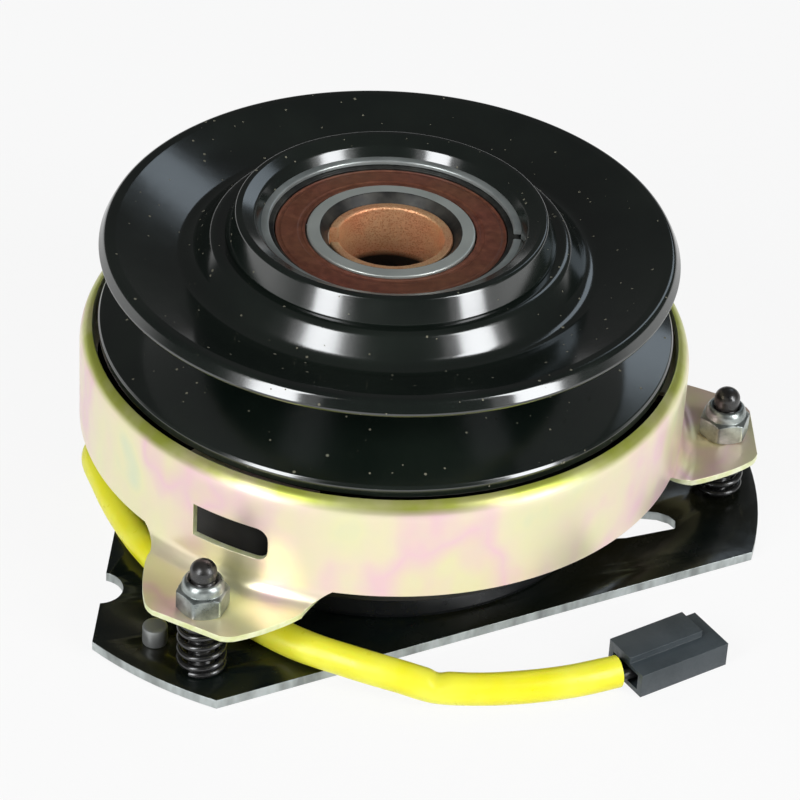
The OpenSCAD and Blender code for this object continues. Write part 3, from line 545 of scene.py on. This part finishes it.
def ring_piece(name, profile, node, finish, steps=192, start=0.0, stop=360.0, gap_half=None):
    """A closed profile carried round the z axis. A split ring stops short: its ends are closed by
    the profile, at fixed angles or, for a slot of even width, at the angle whose sine is half the
    slot's width over the radius."""
    r, z = profile[:, 0], profile[:, 1]
    area = np.sum(r * np.roll(z, -1) - np.roll(r, -1) * z)
    if area > 0:
        r, z = r[::-1], z[::-1]
    whole = gap_half is None and stop - start >= 360
    t = np.linspace(0, 1, steps, endpoint=not whole)[:, None]
    if gap_half is None:
        angle = np.radians(start + (stop - start) * t) + 0 * r[None, :]
    else:
        trim = np.arcsin(gap_half / r)[None, :]
        angle = math.radians(start) + trim + (2 * np.pi - 2 * trim) * t
    points = np.stack([r * np.cos(angle), r * np.sin(angle), z + 0 * angle], -1)
    faces = [list(f) for f in grid_faces(steps, len(r), close_rows=whole, close_cols=True)]
    if not whole:
        last = (steps - 1) * len(r)
        faces += [list(range(len(r)))[::-1], [last + k for k in range(len(r))]]
    return new_piece(name, points.reshape(-1, 3), faces, node, finish)


brg_top = 77.0
brg_bot = 61.0
sleeve_r = 15.0
brg_r = 31.0
race_in = 20.2
race_groove = 18.6
chamfer_wide = 2.0
chamfer_deep = 2.4
# near-black steel whose colour is painted shade: on the chamfer down to the sleeve and on the outer race,
# which shows only in the narrow gap between the snap ring and the seal
grimy_steel = material("grimy_steel", (0.03, 0.03, 0.028), 0.45, 0.3)
grimy_steel["slot"] = "bearing_steel"
tinted(grimy_steel, cloud(grimy_steel, 2.5), (0.35, (0.015, 0.015, 0.014)), (0.7, (0.06, 0.058, 0.05)))
inner_race = ring_piece("inner_race", outline(
    (sleeve_r + 0.05, brg_bot + 0.6, 0.3), (sleeve_r + 0.7, brg_bot, 0.3), (race_in, brg_bot, 0.3),
    (race_in, 66.2, 0.1), (race_groove, 67.2, 1), (race_groove, 70.8, 1), (race_in, 71.8, 0.1),
    (race_in, brg_top, 0.4), (sleeve_r + chamfer_wide, brg_top, 0.35),
    (sleeve_r + 0.05, brg_top - chamfer_deep, 0.3)), "bearing_inner_ring", bearing_steel)
# the chamfer beside the sleeve takes the near-black steel: painted shade for the recess down to the sleeve
inner_race.data.materials.append(grimy_steel)
for face in inner_race.data.polygons:
    near_sleeve = math.hypot(face.center.x, face.center.y) < (sleeve_r + chamfer_wide + 0.1) * mm
    on_chamfer = near_sleeve and face.center.z > (brg_top - chamfer_deep - 0.2) * mm
    face.material_index = 1 if on_chamfer else 0
seal_out = 28.0
seat = seal_out + 0.02
ball_room = 26.9
outer_groove = 28.2
# the outer race is all near-black: painted shade for the groove between the snap ring and the seal
ring_piece("outer_race", outline(
    (brg_r - 0.02, brg_bot, 0.8), (brg_r - 0.02, brg_top, 0.8), (seat, brg_top, 0.25), (seat, 75.5, 0),
    (ball_room, 75.5, 0.1), (ball_room, 71.6, 0.1), (outer_groove, 70.6, 1), (outer_groove, 67.4, 1),
    (ball_room, 66.4, 0.1), (ball_room, 62.5, 0.1), (seat, 62.5, 0), (seat, brg_bot, 0.25)),
    "bearing_outer_ring", grimy_steel)

seal_rubber = material("seal_rubber", (0.19, 0.055, 0.035), 0.5, IOR=1.5)
mottle = cloud(seal_rubber, 1.3, None, 5, 0.7)
red_seal = shades(seal_rubber, mottle, (0.35, (0.108, 0.028, 0.017)), (0.7, (0.222, 0.066, 0.040)))
brown_seal = shades(seal_rubber, mottle, (0.35, (0.12, 0.042, 0.019)), (0.7, (0.198, 0.080, 0.038)))
browned = between(seal_rubber, cloud(seal_rubber, 14), 0.4, 0.65, 0, 0.8)
use(seal_rubber, "Base Color", over(seal_rubber, browned, red_seal, brown_seal))
polished(seal_rubber, mottle, 0.42, 0.62)
relief(seal_rubber, mottle, 0.03)
seal_high, seal_dip, seal_low = 76.6, 76.35, 75.7
seal_face = [(race_in + 0.30, 76.1, 0.1), (race_in + 0.45, seal_high, 0.15),
             (race_in + 1.0, seal_high, 0.1), (race_in + 1.3, seal_dip, 0.2),
             (race_in + 2.0, seal_dip, 0.2), (race_in + 2.4, 76.55, 0.2),
             (seal_out - 1.6, 76.55, 0.2), (seal_out - 1.2, seal_dip, 0.2), (seal_out - 0.7, seal_dip, 0.2),
             (seal_out - 0.5, seal_high, 0.12), (seal_out - 0.25, seal_high, 0.12),
             (seal_out - 0.1, seal_low, 0.1), (race_in + 0.3, seal_low, 0.1)]
turned_over = [(r, brg_top + brg_bot - z, rounding) for r, z, rounding in seal_face]
ring_piece("upper_seal", outline(*seal_face, arc=4, hold=0.05), "bearing_seal_top", seal_rubber)
ring_piece("lower_seal", outline(*turned_over, arc=4, hold=0.05), "bearing_seal_bottom", seal_rubber)

# ------------------------------------------------------------------ snap rings
# Spring steel rings punched from strip, each with a gap to squeeze it by. The upper one drops
# into a groove above the pulley bearing and hides the bearing's outer ring.
spring_steel = material("spring_steel", (0.46, 0.49, 0.48), 0.38, 0.65)
strip = turned(spring_steel, 0.4)
tinted(spring_steel, cloud(spring_steel, 7), (0.35, (0.36, 0.39, 0.38)), (0.65, (0.56, 0.60, 0.58)))
polished(spring_steel, strip, 0.32, 0.48)
relief(spring_steel, strip, 0.008)
snap_in, snap_out = 29.3, 31.68
snap_low, snap_high = 77.07, 78.22
ring_piece("pulley_snap_ring", outline(
    (snap_in, snap_low, 0.2), (snap_out, snap_low, 0.1), (snap_out, snap_high, 0.2),
    (snap_in, snap_high, 0.4)), "retaining_ring", spring_steel, start=-1.3, stop=351.3)
finish_cad(spring_steel, "field_bearing_clip", "leaf_springs")

# ------------------------------------------------------------------ rotor and sleeve
# The rotor is turned from mild steel with slots through its pole face and a friction ring pressed
# in. The keyed sleeve is sintered bronze, slotted from end to end for the key.
rotor_steel = material("rotor_steel", (0.05, 0.05, 0.05), 0.35, 0.6)
tinted(rotor_steel, cloud(rotor_steel, 10), (0.35, (0.012, 0.012, 0.012)), (0.7, (0.035, 0.033, 0.03)))
relief(rotor_steel, turned(rotor_steel, 0.6), 0.02)
finish_cad(rotor_steel, "rotor")
friction = material("friction", (0.05, 0.035, 0.025), 0.75)
tinted(friction, cloud(friction, 0.8, None, 5), (0.4, (0.03, 0.022, 0.018)), (0.75, (0.14, 0.1, 0.07)))
relief(friction, cloud(friction, 0.8, None, 5), 0.1)
finish_cad(friction, "friction_ring", "brake_linings")
copper_sleeve = material("copper_sleeve", (0.80, 0.40, 0.20), 0.4, 0.7)
grains = add(copper_sleeve, "TexVoronoi", {"Vector": where(copper_sleeve), "Scale": 2.2})
grains = grains.outputs["Distance"]
patina = cloud(copper_sleeve, 6, None, 3)
height_up = add(copper_sleeve, "SeparateXYZ", {0: where(copper_sleeve)}).outputs[2]
# the sleeve turns near black below about 62 mm height: painted shade deep in the bore
bore_painted_shade = between(copper_sleeve, height_up, 61.4, 63.0, 1.0, 0.0)
low_grain = shades(copper_sleeve, patina, (0.35, (0.80, 0.25, 0.10)), (0.65, (0.88, 0.40, 0.18)))
high_grain = shades(copper_sleeve, patina, (0.35, (0.98, 0.50, 0.27)), (0.65, (0.98, 0.63, 0.34)))
sinter = over(copper_sleeve, between(copper_sleeve, grains, 0.12, 0.5, 0, 1), low_grain, high_grain)
use(copper_sleeve, "Base Color", over(copper_sleeve, bore_painted_shade, sinter, (0.035, 0.028, 0.020, 1)))
use(copper_sleeve, "Roughness", between(copper_sleeve, grains, 0.1, 0.6, 0.3, 0.55))
relief(copper_sleeve, grains, 0.08)
sleeve_top = 75.2
sleeve_end = 50.0
shaft_r = 12.7
key_half = 3.175
ring_piece("sintered_sleeve", outline(
    (shaft_r, sleeve_end, 0.3), (sleeve_r - 0.02, sleeve_end, 0.3), (sleeve_r - 0.02, sleeve_top, 0.5),
    (shaft_r, sleeve_top, 0.6)), "keyed_sleeve", copper_sleeve, start=180.0, gap_half=key_half)

# ------------------------------------------------------------------ pulley
# Three steel pieces painted gloss black together: a turned hub whose collar stands above the
# bearing, a pressed upper flange dished round it, and a lower flange turned down for the rivets.
# The gloss paint is thick and slightly rippled, and dusty.
pulley_r = 69.85
root_r = 46.0
slope = math.tan(math.radians(18))
rim_hi = 72.2
rim_lo = 52.0
collar_r = 39.5
collar_top = 82.0
black_gloss = material("black_gloss", (0.005, 0.007, 0.006), 0.13, IOR=2.0)
dust_cells = add(black_gloss, "TexVoronoi", {"Vector": where(black_gloss), "Scale": 0.4})
dust_pick = add(black_gloss, "SeparateColor", {"Color": dust_cells.outputs["Color"]}).outputs[0]
dust_size = between(black_gloss, dust_pick, 0.25, 1.0, 0.0, 0.15)
dust = add(black_gloss, "Math", {0: dust_cells.outputs["Distance"], 1: dust_size}, operation="LESS_THAN")
dust = dust.outputs[0]
haze = cloud(black_gloss, 22, None, 4)
paint = shades(black_gloss, haze, (0.4, (0.0030, 0.0060, 0.0045)), (0.75, (0.009, 0.014, 0.010)))
use(black_gloss, "Base Color", over(black_gloss, dust, paint, (0.16, 0.15, 0.10, 1)))
ripple = cloud(black_gloss, 3.5, None, 1.5)
gloss = between(black_gloss, haze, 0.35, 0.7, 0.10, 0.19)
gloss = add(black_gloss, "Math", {0: gloss, 1: dust}, operation="MAXIMUM").outputs[0]
use(black_gloss, "Roughness", gloss)
relief(black_gloss, ripple, 0.012)
hub_r = 39.6
hub_low = 47.0
hub_web = 58.0
hub_bore = 28.5
brg_seat = brg_r + 0.03
shelf = brg_bot - 0.02
ring_piece("collar_hub", outline(
    (hub_bore, hub_web, 0.3), (hub_bore, shelf, 0.1), (brg_seat, shelf, 0.1), (brg_seat, 78.0, 0.25),
    (32.7, 80.5, 1.6), (collar_r - 3.7, collar_top, 0.4), (collar_r - 2.2, collar_top, 0.9),
    (hub_r, collar_top - 5.7, 0.35), (hub_r, hub_low, 0), (36, hub_low, 0.3), (36, hub_web, 0.3), arc=8),
    "pulley_hub", black_gloss, 256)
on_hub = hub_r + 0.02
groove_z = 60.0
cone_hi = rim_hi - 0.5 - slope * (pulley_r - root_r)
ring_piece("upper_flange", outline(
    (on_hub, groove_z, 0), (on_hub, 75.85, 0), (42.6, 76.35, 3.0), (48.2, 69.0, 4.2), (65.9, 75.2, 1.2),
    (68.3, 75.4, 1.6), (pulley_r, rim_hi + 0.2, 0.7), (69.5, rim_hi - 0.6, 0.2), (root_r, cone_hi, 1.2),
    (root_r, groove_z, 0), arc=10), "pulley_upper_flange", black_gloss, 256)
flange_low = 44.0
ring_piece("lower_flange", outline(
    (on_hub, hub_low + 0.02, 0), (on_hub, groove_z - 0.02, 0), (root_r, groove_z - 0.02, 1.2),
    (pulley_r - 0.4, rim_lo + 0.1, 0.35), (pulley_r, rim_lo - 0.6, 0.3), (pulley_r, rim_lo - 2.6, 0.5),
    (pulley_r - 1.2, rim_lo - 3.2, 0.6), (50, 54.9, 1.5), (48.3, 53.2, 0.8), (48.2, flange_low, 0.6),
    (33, flange_low, 0.3), (33, hub_low, 0.1)), "pulley_lower_flange", black_gloss, 256)

# ------------------------------------------------------------------ armature
# A flat disc of mild steel, ground on its lower face, hung from the pulley web on three cranked
# spring straps.
# its colour is near black, darker than ground steel: painted shade for the inside of the cup seen through
# the feeler windows
armature_steel = material("armature_steel", (0.03, 0.03, 0.03), 0.55, 0.5)
tinted(armature_steel, cloud(armature_steel, 12), (0.35, (0.010, 0.010, 0.009)),
       (0.7, (0.03, 0.028, 0.025)))
relief(armature_steel, turned(armature_steel, 0.5), 0.02)
finish_cad(armature_steel, "armature_plate")

# ------------------------------------------------------------------ brake cup
# Pressed from one 1.6 mm sheet: the shoulder turns in over the armature, three ears turn out for
# the studs, and a feeler window is cut above each ear. Zinc plated and yellow passivated, so its
# film shows pink, green and straw tints, and clear cream metal at the cut edges.
yellow_zinc = material("yellow_zinc", (0.86, 0.80, 0.56), 0.3, 0.5)
film = cloud(yellow_zinc, 15, where(yellow_zinc, (1, 1, 1.4)), 2.5)
tints = shades(yellow_zinc, film, (0.30, (0.76, 0.82, 0.56)), (0.38, (0.90, 0.86, 0.52)),
               (0.48, (0.93, 0.80, 0.58)), (0.57, (0.93, 0.63, 0.67)), (0.70, (0.90, 0.83, 0.50)))
fine = cloud(yellow_zinc, 2.2, None, 2, 0.5)
mild = over(yellow_zinc, between(yellow_zinc, fine, 0.2, 0.9, 0, 0.3), tints, (0.84, 0.80, 0.60, 1))
level = add(yellow_zinc, "SeparateXYZ", {0: where(yellow_zinc)}).outputs[2]
# olive laid over the cup: on the shoulder it is a painted reflection of the black pulley above it, and at
# the ears it is an olive tint that is strongest below their top face
shoulder_painted_reflection = between(yellow_zinc, level, 46.8, 48.4, 0, 0.95)
ears_olive_tint = between(yellow_zinc, level, 20.2, 19.6, 0, 0.6)
uneven = between(yellow_zinc, cloud(yellow_zinc, 9), 0.35, 0.6, 0.6, 1.0)
olive_and_painted_reflection = add(yellow_zinc, "Math", {0: shoulder_painted_reflection, 1: ears_olive_tint}, operation="MAXIMUM").outputs[0]
olive_and_painted_reflection = add(yellow_zinc, "Math", {0: olive_and_painted_reflection, 1: uneven}, operation="MULTIPLY").outputs[0]
# the olive colour is the painted reflection on the shoulder and the tint at the ears
use(yellow_zinc, "Base Color", over(yellow_zinc, olive_and_painted_reflection, mild, (0.42, 0.47, 0.05, 1)))
use(yellow_zinc, "Roughness", between(yellow_zinc, cloud(yellow_zinc, 6, None, 1), 0.0, 1.0, 0.25, 0.37))
relief(yellow_zinc, cloud(yellow_zinc, 7, None, 0), 0.015)
zinc_edge = material("zinc_edge", (0.88, 0.90, 0.55), 0.35, 0.4)
tinted(zinc_edge, cloud(zinc_edge, 2), (0.35, (0.78, 0.82, 0.40)), (0.65, (0.94, 0.95, 0.68)))
cup_r = 74.3
sheet = 1.6
shoulder_top = 44.8
wall_end = 24.4
wall_foot = 24.0
shoulder_in = 3.9
shoulder_high = 5.1
# the cup's outline from the top down is a quarter of an ellipse and then the straight wall; it is
# carried round the axis with a column of points at every degree
lean = np.radians(np.linspace(77, 0, 14))
shoulder = np.stack([cup_r - shoulder_in + shoulder_in * np.cos(lean),
                     shoulder_top + shoulder_high * np.sin(lean)], -1)
wall_z = np.array([44.0, 43.0, 41.8, 40.5, 39.0, 37.4, 35.4, 33.4, 31.4, 29.6, 28.0, 26.5, 25.4, wall_end,
                   wall_foot])
cup_rows = np.vstack([shoulder, np.stack([np.full(len(wall_z), cup_r), wall_z], -1)])
cup_rows[-1, 0] += 0.018
columns = 360
round_angle = np.radians(np.arange(columns))[None, :]
cup_points = np.stack([cup_rows[:, :1] * np.cos(round_angle), cup_rows[:, :1] * np.sin(round_angle),
                       cup_rows[:, 1:] + 0 * round_angle], -1)
cup_faces = grid_faces(len(cup_rows), columns, close_cols=True).reshape(len(cup_rows) - 1, columns, 4)
kept = np.ones(cup_faces.shape[:2], bool)
points = [cup_points.reshape(-1, 3)]
count = len(points[0])
faces = []
window_from = len(shoulder) + 3
window_to = len(shoulder) + 11
window_half = 11
window_mid = 33.4
window_w = 20.0
window_h = 8.8
window_corner = 3.0
ear_half = 20
ear_spread = 15.4
root_flare = 4.6
fillet_r = 4.4
ear_top = 20.0
ear_x = 93.1


def window_shape(a, b):
    """The feeler window's outline for a point of a square frame: a rectangle, with a quarter circle
    in place of each corner at one end."""
    x, y = a * window_w / 2, b * window_h / 2
    corner_x, corner_y = window_w / 2 - window_corner, window_h / 2 - window_corner
    dx, dy = x - corner_x, np.abs(y) - corner_y
    long = np.hypot(dx, dy)
    bent = (dx > 0) & (dy > 0) & (long > 0)
    scale = np.where(bent, window_corner / np.where(bent, long, 1), 1)
    x = np.where(bent, corner_x + dx * scale, x)
    y = np.where(bent, np.sign(y) * (corner_y + dy * scale), y)
    return x, y


def half_width(x):
    """Half an ear's width at a distance from the axis, by straight lines between its corners."""
    return np.interp(x, [76, 78.7, 82, 85, 88, 90, 91.5, 92.5, 93.1],
                     [22.4, 20.9, 18.9, 17.0, 14.9, 13.3, 12.0, 10.6, 9.0])


for centre in stud_angles:
    # the frame of wall points round the window, walked once round, is drawn in to its outline
    top, low, left, right = window_from, window_to, centre - window_half, centre + window_half
    kept[top:low, np.arange(left, right) % columns] = False
    walk = ([(top, c) for c in range(left, right)] + [(r, right) for r in range(top, low)]
            + [(low, c) for c in range(right, left, -1)] + [(r, left) for r in range(low, top, -1)])
    frame_ring = np.array([r * columns + c % columns for r, c in walk])
    walk_r, walk_c = np.array(walk).T
    top_z, low_z = cup_rows[top, 1], cup_rows[low, 1]
    mid_row, half_rows = (top_z + low_z) / 2, (top_z - low_z) / 2
    a, b = (walk_c - centre) / window_half, (cup_rows[walk_r, 1] - mid_row) / half_rows
    hole_x, hole_z = window_shape(a, b)
    hole = np.stack([np.degrees(np.arcsin(hole_x / cup_r)), window_mid + hole_z], -1)
    edge = np.stack([a * window_half, cup_rows[walk_r, 1]], -1)
    n = len(walk)
    onward = (np.arange(n) + 1) % n
    previous = frame_ring
    for share in (0.5, 0.88, 1.0):
        spot = edge + (hole - edge) * share
        turn_at = np.radians(centre + spot[:, 0])
        points.append(np.stack([cup_r * np.cos(turn_at), cup_r * np.sin(turn_at), spot[:, 1]], -1))
        ring_now = count + np.arange(n)
        count += n
        faces += np.stack([previous, previous[onward], ring_now[onward], ring_now], -1).tolist()
        previous = ring_now
    # the ear: a fillet out of the wall's foot, then a flat tongue narrowing round the stud
    across = np.linspace(-1, 1, 2 * ear_half + 1)[None, :]
    first = math.asin((ear_top + fillet_r - wall_foot) / fillet_r)
    bend = np.linspace(first, np.pi / 2, 9)[1:, None]
    spread = np.radians(ear_spread + root_flare * (1 - (bend - first) / (np.pi / 2 - first)) ** 1.6)
    out = cup_r + fillet_r * (1 - np.cos(bend))
    fillet = np.stack([out * np.cos(across * spread), out * np.sin(across * spread),
                       ear_top + fillet_r * (1 - np.sin(bend)) + 0 * across], -1)
    start_x, start_y = fillet[-1, :, 0][None, :], fillet[-1, :, 1][None, :]
    step = np.sin(np.linspace(0, np.pi / 2, 12))[1:, None]
    x = start_x + step * (ear_x - start_x)
    y = (1 - step) ** 2 * (start_y - across * half_width(start_x)) + across * half_width(x)
    ear = np.concatenate([fillet, np.stack([x, y, ear_top + 0 * x], -1)])
    c, s = math.cos(math.radians(centre)), math.sin(math.radians(centre))
    points.append((ear @ np.array([[c, s, 0], [-s, c, 0], [0, 0, 1]])).reshape(-1, 3))
    foot = (len(cup_rows) - 1) * columns + (centre + np.arange(-ear_half, ear_half + 1)) % columns
    index = np.vstack([foot, count + np.arange(ear.shape[0] * ear.shape[1]).reshape(ear.shape[:2])])
    count += ear.shape[0] * ear.shape[1]
    quads = np.stack([index[:-1, :-1], index[:-1, 1:], index[1:, 1:], index[1:, :-1]], -1)
    faces += quads.reshape(-1, 4).tolist()

faces = np.vstack([cup_faces[kept], np.array(faces)])[:, ::-1]
cup = new_piece("brake_cup", np.vstack(points), faces, "brake_flange", yellow_zinc)
wall = cup.modifiers.new("wall", "SOLIDIFY")
wall.thickness = sheet * mm
wall.offset = -1.0
wall.use_even_offset = True
wall.material_offset_rim = 1
cup.data.materials.append(zinc_edge)
trim = cup.modifiers.new("edges", "BEVEL")
trim.width = 0.3 * mm
trim.segments = 2
trim.limit_method = "ANGLE"
trim.angle_limit = math.radians(50)
trim.harden_normals = True
finish_cad(yellow_zinc, "brake_brackets")

# ------------------------------------------------------------------ springs
# Compression springs of blackened 1.6 mm music wire round the studs, which push the cup's ears
# up against the locknuts. The end coils are closed against their neighbours.
black_spring = material("black_spring", (0.012, 0.012, 0.012), 0.2, IOR=1.7)
polished(black_spring, cloud(black_spring, 1.2), 0.14, 0.32)
spring_r = 5.2
music_wire_r = 0.8
coil_sides = 16
steps_a_turn = 44
spring_low = 3.32
spring_high = 17.38
turns = 5.5
closed_rise = music_wire_r * 2.12
t = np.linspace(0, turns, int(turns * steps_a_turn) + 1)
rise = spring_high - spring_low
height = np.where(t < 1, closed_rise * t, np.where(
    t > turns - 1, rise - closed_rise * (turns - t),
    closed_rise + (t - 1) * (rise - 2 * closed_rise) / (turns - 2)))
# a helix of even pitch between its two closed end turns
helix = np.stack([spring_r * np.cos(2 * np.pi * t), spring_r * np.sin(2 * np.pi * t),
                  spring_low + height], -1)
coil = round_tube(helix, music_wire_r, coil_sides)
coil_faces = tube_faces(len(t), coil_sides)
springs = new_piece("springs", *thrice(coil.reshape(-1, 3), coil_faces), "adjust_springs", black_spring,
                    rides=False)
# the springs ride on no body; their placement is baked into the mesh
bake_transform(springs)

# ------------------------------------------------------------------ locknuts
# Zinc plated hexagon nuts with a round collar crimped over a black nylon ring, which grips the
# stud's thread.
nut_half = 5.55
nut_hex = 5.5
nut_top = 8.2
zinc_nut = material("zinc_nut", (0.5, 0.53, 0.53), 0.33, 0.9)
plating = cloud(zinc_nut, 2.2, None, 4, 0.65)
tinted(zinc_nut, plating, (0.32, (0.24, 0.27, 0.26)), (0.66, (0.52, 0.56, 0.54)))
polished(zinc_nut, plating, 0.26, 0.44)
relief(zinc_nut, plating, 0.04)
nut_sides = 144
sixth = np.pi / 3
nut_skew = math.radians(10)
nut_turn = np.linspace(0, 2 * np.pi, nut_sides, endpoint=False)[None, :]
# the six flats, cut back at their corners, then a cone over the top and under the foot
fold = (nut_turn - nut_skew) % sixth - sixth / 2
flats = np.minimum(nut_half / np.cos(fold), nut_half / math.cos(sixth / 2) - 0.12)
rows_z = np.array([0.0, 0.06, 0.15, 0.3, 0.5, 0.8, 2.0, 3.6, 4.5, 4.7, 4.85, 5.0, 5.15, 5.3, 5.42, nut_hex])
rows_z = rows_z[:, None]
cone = np.interp(rows_z, [0, 0.55, 4.75, nut_hex], [5.42, 6.5, 6.5, 5.1])
hexagon = np.minimum(flats, cone)
crimp = np.array([[5.1, 5.54], [5.02, 5.62], [5.0, 5.8], [4.98, 6.6], [4.86, 7.1], [4.62, 7.6],
                  [4.3, 7.98], [3.95, nut_top], [3.7, nut_top - 0.02], [3.55, nut_top - 0.15],
                  [3.5, 7.7], [3.3, 7.6]])
nut_bore = np.array([[3.28, 7.4], [3.28, 0.5], [3.5, 0.1], [3.6, 0.0]])
upper_part = np.vstack([crimp, nut_bore])
nut_r = np.vstack([hexagon, upper_part[:, :1] * np.ones_like(nut_turn)])
nut_z = np.vstack([rows_z, upper_part[:, 1:]]) * np.ones_like(nut_turn)
nut = np.stack([nut_r * np.cos(nut_turn), nut_r * np.sin(nut_turn), nut_z + ear_top], -1)
nut_faces = grid_faces(len(nut), nut_sides, close_rows=True, close_cols=True)
new_piece("hex_locknuts", *thrice(nut.reshape(-1, 3), nut_faces), "locknuts", zinc_nut)
nylon = material("nylon", (0.02, 0.02, 0.02), 0.4)
polished(nylon, cloud(nylon, 0.8), 0.32, 0.5)
finish_cad(nylon, "locknut_inserts")

# ------------------------------------------------------------------ studio
# A pale bench, two soft boxes to the left and right of the camera, each with a weaker halo round
# it, and a weak cool panel behind. The room is white at the horizon and dark overhead.
bpy.ops.mesh.primitive_plane_add(size=6, location=(0, 0, -0.0002))
floor = bpy.context.object
floor.name = "floor"
bench = material("bench", (0.8, 0.8, 0.8), 0.8)
tree = bench.node_tree
paper = cloud(bench, 3, None, 2)
tinted(bench, paper, (0.3, (0.79, 0.79, 0.79)), (0.7, (0.81, 0.81, 0.81)))
rays = add(bench, "LightPath", {})
seen = add(bench, "Math", {0: rays.outputs["Is Camera Ray"], 1: rays.outputs["Is Glossy Ray"]},
           operation="MAXIMUM").outputs[0]
seen = add(bench, "Math", {0: seen, 1: rays.outputs["Is Transmission Ray"]}, operation="MAXIMUM").outputs[0]
glow = add(bench, "Emission", {"Color": (1, 1, 1, 1), "Strength": 1.0}).outputs[0]
white_share = 0.9
share = add(bench, "Math", {0: seen, 1: white_share}, operation="MULTIPLY").outputs[0]
mixed = add(bench, "MixShader", {0: share, 1: tree.nodes["Principled BSDF"].outputs[0], 2: glow}).outputs[0]
tree.links.new(mixed, tree.nodes["Material Output"].inputs["Surface"])
floor.data.materials.append(bench)

world = bpy.data.worlds.new("room")
bpy.context.scene.world = world
world.use_nodes = True
sky = add(world, "TexCoord", {}).outputs["Generated"]
sky_z = add(world, "SeparateXYZ", {0: sky}).outputs[2]
sky_light = between(world, sky_z, 0.0, 0.11, 1.0, 0.07)
sky_rays = add(world, "LightPath", {})
sky_seen = add(world, "Math", {0: sky_rays.outputs["Is Camera Ray"],
                               1: sky_rays.outputs["Is Transmission Ray"]}, operation="MAXIMUM").outputs[0]
sky_seen = add(world, "Math", {0: sky_light, 1: sky_seen}, operation="MAXIMUM").outputs[0]
world.node_tree.links.new(sky_seen, world.node_tree.nodes["Background"].inputs["Strength"])
world.node_tree.nodes["Background"].inputs["Color"].default_value = (1, 1, 1, 1)


def soft_box(name, azimuth, elevation, wide, high, radiance, color=(1, 1, 1), distance=1.2):
    """An even rectangular light aimed at the clutch; its power is radiance times pi times area."""
    lamp = bpy.data.lights.new(name, "AREA")
    lamp.shape = "RECTANGLE"
    lamp.size, lamp.size_y = wide, high
    lamp.energy = radiance * math.pi * wide * high
    lamp.color = color
    box = bpy.data.objects.new(name, lamp)
    a, e = math.radians(azimuth), math.radians(elevation)
    aim = Vector((0, 0, 0.05))
    away = Vector((math.cos(a) * math.cos(e), math.sin(a) * math.cos(e), math.sin(e)))
    turned_to = away.to_track_quat("Z", "Y").to_matrix().to_4x4()
    box.matrix_world = Matrix.Translation(aim + away * distance) @ turned_to
    bpy.context.scene.collection.objects.link(box)


# the side the camera looks from, in degrees round the shaft
facing = -93.1
for side, label in ((-1, "left"), (1, "right")):
    offset = side * (48 + 9 * side)
    soft_box("soft_box_" + label, facing + offset, 25, 0.37, 0.92, 8.2, (0.96, 0.98, 1.0))
    soft_box("soft_halo_" + label, facing + offset, 28, 0.75, 1.0, 0.55, distance=1.25)
soft_box("cool_panel", 58, 35, 0.3, 0.5, 1.2, (0.75, 0.88, 1.0))
